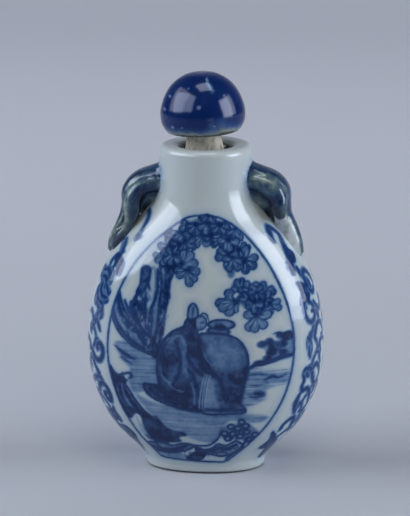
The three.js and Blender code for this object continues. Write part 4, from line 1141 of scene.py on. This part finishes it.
def bar_tree():
    """Sweeps a softly squared section along paths, thick across the bend and broad along the depth."""
    tree = bpy.data.node_groups.new("moulded bar", "GeometryNodeTree")
    for name, kind in (
        ("Paths", "Geometry"), ("Sides", "Int"), ("Step", "Float"), ("Fullness", "Float"),
        ("Clay", "Material")
    ):
        tree.interface.new_socket(name, in_out="INPUT", socket_type="NodeSocket" + kind)
    tree.interface.new_socket("Bars", in_out="OUTPUT", socket_type="NodeSocketGeometry")
    given = tree.nodes.new("NodeGroupInput").outputs

    path = add_node(tree, "GeometryNodeMeshToCurve", {"Mesh": given["Paths"]})
    smooth = add_node(tree, "GeometryNodeCurveSplineType", {"Curve": path}, spline_type="CATMULL_ROM")
    fine = add_node(tree, "GeometryNodeResampleCurve", {"Curve": smooth, "Length": given["Step"]},
                    mode="LENGTH")
    thick, broad, middle = [
        add_node(tree, "GeometryNodeInputNamedAttribute", {"Name": name}, data_type=kind) for name, kind in (
            ("half_thickness", "FLOAT"), ("half_breadth", "FLOAT"), ("middle", "FLOAT_VECTOR")
        )
    ]
    place = add_node(tree, "GeometryNodeInputPosition")
    kept = add_node(
        tree, "GeometryNodeStoreNamedAttribute", {"Geometry": fine, "Name": "middle", "Value": place},
        data_type="FLOAT_VECTOR", domain="POINT",
    )
    sized = add_node(tree, "GeometryNodeSetCurveRadius", {"Curve": kept, "Radius": thick})

    circle = add_node(tree, "GeometryNodeCurvePrimitiveCircle", {"Resolution": given["Sides"], "Radius": 1.0})
    around = add_node(tree, "ShaderNodeSeparateXYZ", (place,)).node.outputs
    product = add_node(tree, "ShaderNodeMath", (around["X"], around["Y"]), operation="MULTIPLY")
    squared = add_node(tree, "ShaderNodeMath", (product, product), operation="MULTIPLY")
    corner = add_node(tree, "ShaderNodeMath", (squared, 4.0), operation="MULTIPLY")
    swell = add_node(tree, "ShaderNodeMath", (corner, given["Fullness"]), operation="MULTIPLY")
    offset = add_node(tree, "ShaderNodeVectorMath", {"Vector": place, "Scale": swell}, operation="SCALE")
    section = add_node(tree, "GeometryNodeSetPosition", {"Geometry": circle, "Offset": offset})
    swept = add_node(tree, "GeometryNodeCurveToMesh", {
        "Curve": sized, "Profile Curve": section, "Scale": add_node(tree, "GeometryNodeInputRadius"),
        "Fill Caps": True,
    })

    from_middle = add_node(tree, "ShaderNodeVectorMath", (place, middle), operation="SUBTRACT")
    sideways = add_node(tree, "ShaderNodeSeparateXYZ", (from_middle,), "Y")
    ratio = add_node(tree, "ShaderNodeMath", (broad, thick), operation="DIVIDE")
    extra = add_node(tree, "ShaderNodeMath", (ratio, 1.0), operation="SUBTRACT")
    push = add_node(tree, "ShaderNodeMath", (sideways, extra), operation="MULTIPLY")
    push_y = add_node(tree, "ShaderNodeCombineXYZ", {"Y": push})
    broadened = add_node(tree, "GeometryNodeSetPosition", {"Geometry": swept, "Offset": push_y})
    real = add_node(tree, "GeometryNodeRealizeInstances", (broadened,))
    finished = add_node(tree, "GeometryNodeSetMaterial", {"Geometry": real, "Material": given["Clay"]})
    tree.links.new(finished, tree.nodes.new("NodeGroupOutput").inputs[0])
    return tree


def set_tree_inputs(modifier, **values):
    """Sets a Geometry Nodes modifier's inputs by each socket's identifier, looked up from its name."""
    for item in modifier.node_group.interface.items_tree:
        key = item.name.replace(" ", "_")
        if item.item_type == "SOCKET" and item.in_out == "INPUT" and key in values:
            modifier[item.identifier] = values[key]


def evaluated_mesh(obj):
    """Puts the mesh that the object's modifiers make in place of its own, and removes the modifiers."""
    graph = bpy.context.evaluated_depsgraph_get()
    made = bpy.data.meshes.new_from_object(obj.evaluated_get(graph))
    first = obj.data
    obj.modifiers.clear()
    obj.data = made
    bpy.data.meshes.remove(first)
    return made


clay = bpy.data.materials.new("plain clay")
BAR_TREE = bar_tree()
BAR_SIDES = 24
BAR_STEP = 0.5
BAR_FULLNESS = 0.06
SKIN_GRAIN = 0.2


def handle_skin(name, side, shape):
    """One handle as a single skin, its bars swept, fused and softened, with its points in millimetres."""
    far_ear = [((x, -y, z), thick, broad) for (x, y, z), thick, broad in shape["ear"]]
    points, edges, thick, broad = [], [], [], []
    for bar in (*shape.values(), far_ear):
        first = len(points)
        for (outward, sideways, height), half_thickness, half_breadth in bar:
            points.append((side * outward, sideways, height))
            thick.append(half_thickness)
            broad.append(half_breadth)
        edges += [(k, k + 1) for k in range(first, len(points) - 1)]
    obj = add_object(name, points, edges=edges)
    store(obj, "half_thickness", thick)
    store(obj, "half_breadth", broad)
    sweep = obj.modifiers.new("sweep", "NODES")
    sweep.node_group = BAR_TREE
    set_tree_inputs(sweep, Sides=BAR_SIDES, Step=BAR_STEP, Fullness=BAR_FULLNESS, Clay=clay)
    fuse = obj.modifiers.new("fuse", "REMESH")
    fuse.mode = "VOXEL"
    fuse.voxel_size = SKIN_GRAIN
    soften = obj.modifiers.new("soften", "SMOOTH")
    soften.factor = 0.6
    soften.iterations = 5
    mesh = evaluated_mesh(obj)
    places, normals = np.empty((2, len(mesh.vertices) * 3))
    mesh.vertices.foreach_get("co", places)
    mesh.vertex_normals.foreach_get("vector", normals)
    return obj, places.reshape(-1, 3), normals.reshape(-1, 3)


def fillet_rise(distance):
    """How far slip and glaze fill the corner between two surfaces that meet, at a distance from the other."""
    near = np.clip(1 - np.abs(distance) / GLAZE_FILLET, 0, 1)
    return near**2 * GLAZE_FILLET / 4


def flask_distance(points):
    """About how far points, in millimetres, are outside the flask's surface; less than 0 is inside."""
    def fill(p):
        sizes = flask_size(p[:, 2])
        across, deep, square = sizes.T
        turn = np.arctan2(p[:, 1] / deep, p[:, 0] / across)
        reach = 1 + (2 ** (0.5 - 1 / square) - 1) * np.sin(2 * turn) ** 2
        return np.hypot(p[:, 0] / across, p[:, 1] / deep) / reach - 1

    here = fill(points)
    step = 0.05
    slopes = [(fill(points + step * axis) - here) / step for axis in np.eye(3)]
    return here / np.linalg.norm(slopes, axis=0)


def nearest_on(points, path):
    """Each point's distance to a path in space, and the share of the path before the nearest place."""
    best = np.full(len(points), 1e9)
    share = np.zeros(len(points))
    count = len(path) - 1
    for k in range(count):
        step = path[k + 1] - path[k]
        t = np.clip((points - path[k]) @ step / (step @ step), 0, 1)
        d = np.linalg.norm(points - path[k] - t[:, None] * step, axis=1)
        closer = d < best
        best[closer] = d[closer]
        share[closer] = (k + t[closer]) / count
    return best, share


def convexity(mesh, points, normals):
    """How sharply the surface is rounded at each point, evened over its neighbours; hollows are below 0."""
    edges = np.empty(len(mesh.edges) * 2, np.int32)
    mesh.edges.foreach_get("vertices", edges)
    a, b = edges.reshape(-1, 2).T
    step = points[b] - points[a]
    length = np.maximum((step**2).sum(1), 1e-6)
    total, count = np.zeros(len(points)), np.zeros(len(points))
    for here, sign in ((a, 1), (b, -1)):
        np.add.at(total, here, -sign * (step * normals[here]).sum(1) / length * 2)
        np.add.at(count, here, 1)
    value = total / np.maximum(count, 1)
    for _ in range(4):
        spread = np.zeros(len(points))
        np.add.at(spread, a, value[b])
        np.add.at(spread, b, value[a])
        value = 0.5 * value + 0.5 * spread / np.maximum(count, 1)
    return value


# The middle of the opening under the arch, and the height from which a handle is luted to the neck.
LOOP_MIDDLE = np.array([9.5, 0.0, 51.5])
NECK_JOINT_HEIGHT = 58.5
# How much cobalt lies on the arch, how much more on its outer face, how much less under the low strap, and
# how much where the handle joins the neck.
ARCH_COBALT, OUTER_EXTRA, STRAP_LESS, JOINT_COBALT = 0.56, 0.16, 0.58, 0.72


def daub_and_shade(shape, points, normals, gap, ear_tones, brown_black):
    """How thickly cobalt and painted shade lie on a handle and how brown it is, at each point, from 0 to 1.
    """
    side = np.array([np.sign(points[0, 0]), 1, 1])
    folded, turned = points * side, normals * side
    folded[:, 1] = np.abs(folded[:, 1])
    # How far each point is from a bar's middle, in half thicknesses, and how far along the bar.
    reach, share = {}, {}
    for part, bar in shape.items():
        distance, share[part] = nearest_on(folded, through([place for place, _thick, _broad in bar], steps=4))
        thickness = [thick for _place, thick, _broad in bar]
        reach[part] = distance / np.interp(share[part], np.linspace(0, 1, len(bar)), thickness)
    ear = np.clip((reach["arch"] - reach["ear"]) * 2.2 + 0.6, 0, 1) * (reach["curl"] > reach["ear"])
    curl = np.clip((np.minimum(reach["arch"], reach["ear"]) - reach["curl"]) * 2.0 + 0.4, 0, 1)
    away = (folded - LOOP_MIDDLE) * np.array([1, 0, 1])
    away /= np.linalg.norm(away, axis=1)[:, None]
    outwards = (turned * away).sum(1)
    outer_face = np.clip((outwards - 0.45) / 0.4, 0, 1)
    low_strap = np.clip((share["arch"] - 0.5) / 0.12, 0, 1)
    cobalt = ARCH_COBALT + OUTER_EXTRA * outer_face - STRAP_LESS * low_strap * (1 - outer_face)
    lobe = np.interp(share["ear"], (0.0, 0.25, 0.45, 0.62, 0.8, 1.0), ear_tones)
    # Faces turned in towards the opening under the arch get darker: more cobalt, and painted shade.
    lobe += np.clip(-outwards, -0.5, 0.5) * 0.36
    cobalt += (lobe - cobalt) * ear
    # Each curl darkens towards its tucked-in end: cobalt, and painted shade of the opening it fills.
    curl_cobalt_and_shade = np.interp(share["curl"], (0.0, 0.35, 0.6, 0.8, 1.0), (0.2, 0.36, 0.6, 0.95, 1.0))
    cobalt += (curl_cobalt_and_shade - cobalt) * curl
    joint = np.exp(-np.maximum(gap, 0) / 0.6) * (folded[:, 2] > NECK_JOINT_HEIGHT)
    cobalt += (JOINT_COBALT - cobalt) * joint
    start, end, depth = brown_black
    brown = np.clip((share["ear"] - start) / (end - start), 0, 1) * depth * ear
    # The brown-black at the curls' ends is painted shade in the opening under the arch.
    return cobalt, brown + 0.6 * curl * np.clip((share["curl"] - 0.5) / 0.3, 0, 1)


# The same glaze over thickly daubed cobalt: navy where it pooled, grey-green where it is thin, near white on
# the sharpest ridges, where it runs thin and a highlight is painted, and burnt brown at the tips of the ears;
# the curls' ends darken to brown-black, partly painted shade of the opening under each arch.
handle_glaze, tree, shader = new_material("cobalt-daubed porcelain handles, glazed")
shader["IOR"].default_value = GLAZE_IOR
shader["Roughness"].default_value = 0.1
HANDLE_STOPS = (
    (0.0, "D6DEE4"), (0.18, "9AABA9"), (0.35, "687F80"), (0.5, "46627A"), (0.65, "304A6C"), (0.8, "1F3358"),
    (1.0, "0C1734"),
)
HANDLE_BLOTCH = 2.4 * MM
place = add_node(tree, "ShaderNodeTexCoord", output="Object")
cobalt, brown, ridge = [
    add_node(tree, "ShaderNodeAttribute", output="Fac", attribute_name=name)
    for name in ("cobalt", "brown", "ridge")
]
mottling = add_node(
    tree, "ShaderNodeTexNoise",
    {"Vector": place, "Scale": 1 / HANDLE_BLOTCH, "Detail": 4.0, "Roughness": 0.55}
)
blotch = add_node(tree, "ShaderNodeMath", (mottling, 1.1, -0.55), operation="MULTIPLY_ADD")
density = add_node(tree, "ShaderNodeMath", (cobalt, blotch), operation="ADD", use_clamp=True)
colour = add_node(tree, "ShaderNodeValToRGB", (density,), stops=HANDLE_STOPS)
# The sharpest ridges are lightened: the glaze runs thin there, and a highlight is painted along them.
thin_glaze_and_highlight = add_node(tree, "ShaderNodeMapRange", (ridge, 0.35, 0.8, 0.0, 0.4), interpolation_type="SMOOTHSTEP")
brown_black = add_node(tree, "ShaderNodeMath", (blotch, 0.6, brown), operation="MULTIPLY_ADD", use_clamp=True)
for share, code in ((thin_glaze_and_highlight, "9FB8D0"), (brown_black, "2C332F")):
    colour = add_node(tree, "ShaderNodeMix", {0: share, 6: colour, 7: from_hex(code)}, 2, data_type="RGBA")
tree.links.new(colour, shader["Base Color"])

# Each handle with its cobalt along the ears, and where along the ear it starts to burn, where it is burnt and
# how brown.
handle_skins = {}
for name, side, shape, ear_tones, brown_black in (
    ("bottle_handle_right", 1, RIGHT_HANDLE, (0.5, 0.46, 0.62, 0.8, 0.72, 0.9), (0.62, 0.95, 0.85)),
    ("bottle_handle_left", -1, LEFT_HANDLE, (0.62, 0.66, 0.52, 0.42, 0.55, 0.66), (0.35, 0.7, 0.4)),
):
    handle, points, normals = handle_skin(name, side, shape)
    faces = [tuple(face.vertices) for face in handle.data.polygons]
    handle_skins[side] = BVHTree.FromPolygons([Vector(p) for p in points], faces)
    gap = flask_distance(points)
    points = points + normals * fillet_rise(gap)[:, None]
    handle.data.vertices.foreach_set("co", (points * MM).ravel())
    handle.data.shade_smooth()
    handle.data.update()
    cobalt, brown = daub_and_shade(shape, points, normals, gap, ear_tones, brown_black)
    store(handle, "cobalt", cobalt)
    store(handle, "brown", brown)
    store(handle, "ridge", convexity(handle.data, points, normals))
    handle.data.materials.clear()
    handle.data.materials.append(handle_glaze)
    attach(handle, "root")
    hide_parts("bottle")

# Slip also rises on the flask round each handle, and cobalt bleeds from the handles into the neck's glaze.
FAR_FROM_HANDLES = 9.0
HANDLES_FROM_AXIS = 7
HANDLES_FROM_HEIGHT, HANDLES_TO_HEIGHT = 40, 63.5
FILLET_TOP = 63.0
BLEED_REACH = 0.9
BLEED_FROM = 54


def handle_distance(points):
    """How far each point, in millimetres, is from the handle on its side, where it is near one."""
    far = np.full(len(points), FAR_FROM_HANDLES)
    beside = (points[:, 2] > HANDLES_FROM_HEIGHT) & (points[:, 2] < HANDLES_TO_HEIGHT)
    for k in np.nonzero(beside & (np.abs(points[:, 0]) > HANDLES_FROM_AXIS))[0]:
        skin = handle_skins[1 if points[k, 0] > 0 else -1]
        place, normal, _face, distance = skin.find_nearest(Vector(points[k]))
        inside = (Vector(points[k]) - place).dot(normal) < 0
        far[k] = -distance if inside else distance
    return far


handle_gap = np.full(len(flask_points), FAR_FROM_HANDLES)
handle_gap[:outer_count] = handle_distance(flask_points[:outer_count])
outward = flask_points * np.array([1, 1, 0])
outward /= np.maximum(np.linalg.norm(outward, axis=1), 1e-6)[:, None]
slip_rise = fillet_rise(handle_gap) * (flask_points[:, 2] < FILLET_TOP)
flask.data.vertices.foreach_set("co", ((flask_points + outward * slip_rise[:, None]) * MM).ravel())
flask.data.update()
on_neck = np.clip((flask_points[:, 2] - BLEED_FROM) / 2, 0, 1)
store(flask, "bleed", np.exp(-np.maximum(handle_gap, 0) / BLEED_REACH) * on_neck)
# With the slip and the bled cobalt on it, the flask is whole.
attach(flask, "root")
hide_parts("bottle")


# ---- The stopper's cap --------------------------------------------------------------------------
# A thrown porcelain dome dipped in dark blue glaze, which ran thin and greenish at its ragged lower edge.
# It sits over the cork's head, and the whole stopper leans a little to one side.

STOPPER_LEAN = math.radians(-2.6)
STOPPER_PIVOT = 59.0
CAP_BASE = 68.0
# Distance from the axis and height above the rim, from the socket's ceiling round the rim to the top.
CAP_OUTLINE = (
    (0.0, 1.1), (3.2, 1.1), (3.95, 1.0), (4.25, 0.7), (4.25, 0.2), (4.45, 0.0), (5.8, 0.0), (6.7, 0.06),
    (7.3, 0.4), (7.8, 1.0), (8.3, 2.1), (8.45, 3.4), (8.4, 4.5), (8.05, 5.9), (7.35, 7.6), (6.25, 9.25),
    (4.85, 10.5), (3.2, 11.4), (1.6, 11.75), (0.0, 11.8),
)


def lathe_points(outline, columns, base, step):
    """Rings of a turned piece, evenly spaced along its outline, and faces that close it at both ends."""
    path = through(outline, steps=8)
    length = np.concatenate([[0], np.cumsum(np.linalg.norm(np.diff(path, axis=0), axis=1))])
    count = int(length[-1] / step)
    along = np.linspace(0, length[-1], count)[1:-1]
    radius, height = np.interp(along, length, path[:, 0]), np.interp(along, length, path[:, 1])
    turn = np.arange(columns) * 2 * np.pi / columns
    rings = np.stack([
        radius[:, None] * np.cos(turn), radius[:, None] * np.sin(turn), np.repeat(height[:, None], columns, 1)
    ], -1).reshape(-1, 3)
    first, last = len(rings), len(rings) + 1
    vertices = np.concatenate([rings, [[0, 0, path[0, 1]], [0, 0, path[-1, 1]]]])
    faces = [tuple(f) for f in grid_faces(len(radius), columns)]
    start = (len(radius) - 1) * columns
    faces += [(first, (j + 1) % columns, j) for j in range(columns)]
    faces += [(start + j, start + (j + 1) % columns, last) for j in range(columns)]
    vertices[:, 2] += base
    return vertices, faces


def lean(points):
    """The stopper's tilt about the mouth of the neck."""
    x, z = points[:, 0], points[:, 2] - STOPPER_PIVOT
    c, s = math.cos(STOPPER_LEAN), math.sin(STOPPER_LEAN)
    return np.stack([c * x + s * z, points[:, 1], -s * x + c * z + STOPPER_PIVOT], -1)


def soft_noise(points, size, seed, octaves=3):
    """A smooth value between about -1 and 1 that changes over size millimetres."""
    rng = np.random.default_rng(seed)
    total = np.zeros(len(points))
    for octave in range(octaves):
        for _ in range(5):
            wave = rng.normal(size=3)
            wave *= 2 * np.pi / (size / 2**octave) / np.linalg.norm(wave)
            total += np.sin(points @ wave + rng.uniform(0, 6.28)) / 2**octave / 3
    return total


CAP_COLUMNS = 220
CAP_STEP = 0.16
CAP_SOCKET_REACH = 4.6
FLAT = np.array([1, 1, 0])

cap_points, cap_faces = lathe_points(CAP_OUTLINE, CAP_COLUMNS, CAP_BASE, CAP_STEP)
rise = cap_points[:, 2] - CAP_BASE
outside = (np.hypot(cap_points[:, 0], cap_points[:, 1]) > CAP_SOCKET_REACH) | (rise > 1.5)
# The glaze ends in a ragged, slightly rolled edge a little above the rim.
ragged = 0.58 + 0.2 * soft_noise(cap_points * FLAT, 5.0, 3) + 0.12 * soft_noise(cap_points * FLAT, 1.6, 5)
glazed = np.where(outside, rise - ragged, -1.0)
roll = np.exp(-((glazed / 0.22) ** 2)) * 0.07 * outside
spread = cap_points * FLAT
spread /= np.maximum(np.linalg.norm(spread, axis=1), 1e-6)[:, None]
cap_points = cap_points + spread * (roll - 0.05)[:, None] * outside[:, None]
cap = add_object("stopper_cap", lean(cap_points) * MM, cap_faces)
on_front = cap_points[:, 1] < 0
thin_side = 0.6 * np.exp(-(((cap_points[:, 0] - 4.4) / 2.2) ** 2)) * on_front
store(cap, "glazed", glazed * (1 - thin_side))


def mark(path, width):
    """How fully a soft mark on the cap's front covers each point; the path is (x, height above the rim)."""
    distance, _share = distance_to_path(cap_points[:, 0], rise, np.array(path, float))
    return np.clip(1.5 - distance / width, 0, 1) * on_front


# Pale marks: streaks by their path, width and strength, and specks by their place and width. The two streaks
# near the top are a painted glint; the faint low streak and the specks are where the glaze broke.
PALE_STREAKS_AND_GLINTS = (
    (((1.5, 11.1), (1.8, 10.4), (2.5, 9.3)), 0.22, 1.0),
    (((1.9, 10.2), (2.8, 9.0)), 0.34, 0.6),
    (((2.4, 3.6), (2.6, 2.2), (2.5, 1.0)), 0.6, 0.15),
)
SPECKS = (
    (0.15, 6.2, 0.34), (-5.9, 7.9, 0.25), (-7.1, 5.4, 0.28), (-5.4, 2.1, 0.3), (3.0, 2.4, 0.18),
    (-3.4, 2.2, 0.14), (4.9, 8.0, 0.16), (-2.0, 9.6, 0.14),
)
# The streak attribute holds a painted glint near the top and a faint glaze streak lower down.
store(cap, "streak", np.max([strength * mark(path, width) for path, width, strength in PALE_STREAKS_AND_GLINTS], axis=0))
store(cap, "speck", np.max([mark(((x, up), (x + 0.05, up)), width) for x, up, width in SPECKS], axis=0))

# Dark blue glaze over grey clay: deep and glossy where it is thick, milky and greenish where it thins, with
# pale specks and a faint low streak where bubbles broke, a glint painted as pale streaks near the top, and
# bare, rough, dark clay below its edge.
CAP_STOPS = (
    (0.0, "8E9A98"), (0.1, "71848F"), (0.25, "476090"), (0.5, "284A82"), (0.75, "173A74"), (1.0, "0B2863"),
)
CLAY_STOPS = ((0.35, "3A3A35"), (0.5, "62645D"), (0.65, "262520"))
CAP_GLAZE_IOR = 1.35
cap_glaze, tree, shader = new_material("dark blue glazed stoneware cap")
shader["IOR"].default_value = CAP_GLAZE_IOR
place = add_node(tree, "ShaderNodeTexCoord", output="Object")
glaze_depth, streak, speck = [
    add_node(tree, "ShaderNodeAttribute", output="Fac", attribute_name=name)
    for name in ("glazed", "streak", "speck")
]
clouding, breaking, grit = [
    add_node(tree, "ShaderNodeTexNoise", {"Vector": place, "Scale": 1 / (size * MM), "Detail": detail,
                                          "Roughness": rough})
    for size, detail, rough in ((3.4, 4.0, 0.6), (0.9, 4.0, 0.7), (0.8, 5.0, 0.7))
]
depth, broken, crust = [
    add_node(tree, "ShaderNodeMapRange", limits, interpolation_type="SMOOTHSTEP")
    for limits in ((glaze_depth, 0.02, 1.9), (breaking, 0.3, 0.62, 0.1, 0.75), (glaze_depth, 0.08, -0.02))
]
clouds = add_node(tree, "ShaderNodeMath", (clouding, 0.5, -0.25), operation="MULTIPLY_ADD")
clouded = add_node(tree, "ShaderNodeMath", (depth, clouds), operation="ADD", use_clamp=True)
colour = add_node(tree, "ShaderNodeValToRGB", (clouded,), stops=CAP_STOPS)
streaked = add_node(tree, "ShaderNodeMath", (streak, broken), operation="MULTIPLY")
speckled = add_node(tree, "ShaderNodeMath", (speck, 0.6), operation="MULTIPLY")
clay_colour = add_node(tree, "ShaderNodeValToRGB", (grit,), stops=CLAY_STOPS)
for share, over in ((streaked, from_hex("86B4D6")), (speckled, from_hex("86A0D0")), (crust, clay_colour)):
    colour = add_node(tree, "ShaderNodeMix", {0: share, 6: colour, 7: over}, 2, data_type="RGBA")
tree.links.new(colour, shader["Base Color"])
gloss = add_node(tree, "ShaderNodeMapRange", (crust, 0.0, 1.0, 0.13, 0.6), interpolation_type="SMOOTHSTEP")
tree.links.new(gloss, shader["Roughness"])
cap.data.materials.append(cap_glaze)
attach(cap, "root")
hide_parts("stopper_cap")


# ---- The stopper's cork -------------------------------------------------------------------------
# A whittled and turned cork shank, waisted where it leaves the cap, pressed into the mouth of the neck.

CORK_FOOT = 55.6
CORK_OUTLINE = (
    (0.0, 0.0), (2.6, 0.0), (3.4, 0.1), (3.65, 0.45), (3.9, 2.0), (4.2, 6.2), (4.2, 7.0), (4.05, 8.2),
    (3.65, 9.9), (3.42, 10.9), (3.5, 11.6), (3.95, 12.3), (3.95, 12.9), (3.7, 13.15), (2.6, 13.2),
    (0.0, 13.2),
)
CORK_COLUMNS = 200
CORK_STEP = 0.14

cork_points, cork_faces = lathe_points(CORK_OUTLINE, CORK_COLUMNS, CORK_FOOT, CORK_STEP)
radius = np.hypot(cork_points[:, 0], cork_points[:, 1])
grain = 0.05 * soft_noise(cork_points * np.array([1, 1, 0.12]), 1.2, 21)
grain += 0.04 * soft_noise(cork_points, 2.4, 22)
on_side = np.clip((radius - 3.0) / 0.5, 0, 1)
cork_points[:, :2] *= (1 + (np.minimum(grain, 0.03) - 0.04) * on_side / np.maximum(radius, 1))[:, None]
cork = add_object("stopper_cork", lean(cork_points) * MM, cork_faces)
store(cork, "pit", np.clip(-grain * 12, 0, 1))

# Old cork, whittled and rubbed pale: matt, with soft upright streaks and slightly darker pits.
CORK_STOPS = ((0.25, "A8A08F"), (0.45, "D8D0C0"), (0.6, "E6E0D2"), (0.8, "C2BAAA"))
CORK_STREAK = 0.8 * MM
cork_skin, tree, shader = new_material("turned cork, old and dusty")
shader["Roughness"].default_value = 0.85
shader["Specular IOR Level"].default_value = 0.25
place = add_node(tree, "ShaderNodeTexCoord", output="Object")
pit = add_node(tree, "ShaderNodeAttribute", output="Fac", attribute_name="pit")
stretched = add_node(tree, "ShaderNodeMapping", {"Vector": place, "Scale": (1.0, 1.0, 0.35)})
streaks = add_node(
    tree, "ShaderNodeTexNoise",
    {"Vector": stretched, "Scale": 1 / CORK_STREAK, "Detail": 5.0, "Roughness": 0.65}
)
pitted = add_node(tree, "ShaderNodeMath", (pit, -0.2, streaks), operation="MULTIPLY_ADD")
colour = add_node(tree, "ShaderNodeValToRGB", (pitted,), stops=CORK_STOPS)
tree.links.new(colour, shader["Base Color"])
cork.data.materials.append(cork_skin)
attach(cork, "root")
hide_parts("stopper_cork")


# ---- The table and the light --------------------------------------------------------------------
# A seamless sheet of pale blue-grey paper that curves up behind the bottle. Broad softboxes with diffusers
# stand at the left and right and a small one overhead; the front fill and the light on the background only
# soften the shading. The room is dim.

PAPER_FRONT = -0.9
PAPER_BEND = 0.5
PAPER_BEND_RADIUS = 0.4
PAPER_TOP = 1.4
PAPER_HALF_WIDTH = 1.5

profile = [(PAPER_FRONT, 0.0)]
for swing in np.linspace(0, math.pi / 2, 13):
    profile.append((PAPER_BEND + PAPER_BEND_RADIUS * math.sin(swing),
                    PAPER_BEND_RADIUS * (1 - math.cos(swing))))
profile.append((PAPER_BEND + PAPER_BEND_RADIUS, PAPER_TOP))
paper_points = [(side * PAPER_HALF_WIDTH, y, z) for y, z in profile for side in (-1, 1)]
paper_faces = [(2 * k, 2 * k + 1, 2 * k + 3, 2 * k + 2) for k in range(len(profile) - 1)]
paper = add_object("paper", paper_points, paper_faces)

# Matt paper, a little paler towards the back, where more light falls on it.
paper_skin, tree, shader = new_material("matt background paper, graduated")
shader["Roughness"].default_value = 0.9
shader["Specular IOR Level"].default_value = 0.1
place = add_node(tree, "ShaderNodeTexCoord", output="Object")
depth = add_node(tree, "ShaderNodeSeparateXYZ", (place,), "Y")
paler = add_node(tree, "ShaderNodeMapRange", (depth, -0.04, 0.45), interpolation_type="SMOOTHSTEP")
colour = add_node(
    tree, "ShaderNodeMix", {0: paler, 6: from_hex("BFC4CE"), 7: from_hex("E9EDF8")}, 2, data_type="RGBA"
)
tree.links.new(colour, shader["Base Color"])
paper.data.materials.append(paper_skin)

LIGHT_AIM = Vector((0, 0, 0.035))


def softbox(name, azimuth, elevation, distance, size, power, colour, roll=0, shows_in="all"):
    """A rectangular softbox that looks at the bottle; azimuth is turned from the view, left is negative."""
    turn, lift = math.radians(azimuth) + VIEW_TURN, math.radians(elevation)
    away = Vector((math.sin(turn) * math.cos(lift), -math.cos(turn) * math.cos(lift), math.sin(lift)))
    light = bpy.data.lights.new(name, "AREA")
    light.shape = "RECTANGLE"
    light.size, light.size_y = size
    light.energy = power
    light.color = from_hex(colour)[:3]
    holder = bpy.data.objects.new(name, light)
    holder.location = away * distance + LIGHT_AIM
    facing = away.to_track_quat("Z", "Y")
    holder.rotation_euler = (facing @ Quaternion((0, 0, 1), math.radians(roll))).to_euler()
    holder.visible_diffuse = shows_in != "reflections"
    holder.visible_glossy = shows_in != "shading"
    bpy.context.scene.collection.objects.link(holder)


softbox("left softbox", -86, 33, 0.60, (0.52, 0.48), 2.4, "F0F5FF", roll=10)
softbox("left diffuser", -66, 34, 0.62, (0.68, 0.40), 5.3, "D9E6FF", roll=15, shows_in="reflections")
softbox("right softbox", 80, 20, 0.60, (0.44, 0.38), 2.2, "F0F5FF")
softbox("right diffuser", 72, 17, 0.60, (0.34, 0.50), 3.9, "D9E6FF", shows_in="reflections")
softbox("front fill", 10, 54, 0.80, (0.50, 0.50), 1.36, "FFFBF2", shows_in="shading")
softbox("background light", 180, 42, 0.85, (0.9, 0.3), 0.6, "F4F7FF", shows_in="shading")
softbox("top softbox", 20, 84, 0.60, (0.28, 0.28), 1.7, "E6EEFF", shows_in="reflections")

world = bpy.data.worlds.new("room")
world.use_nodes = True
glow = world.node_tree.nodes["Background"].inputs
glow["Color"].default_value = from_hex("C4CAD6")
glow["Strength"].default_value = 0.08
bpy.context.scene.world = world
bpy.context.scene.view_settings.view_transform = "Standard"
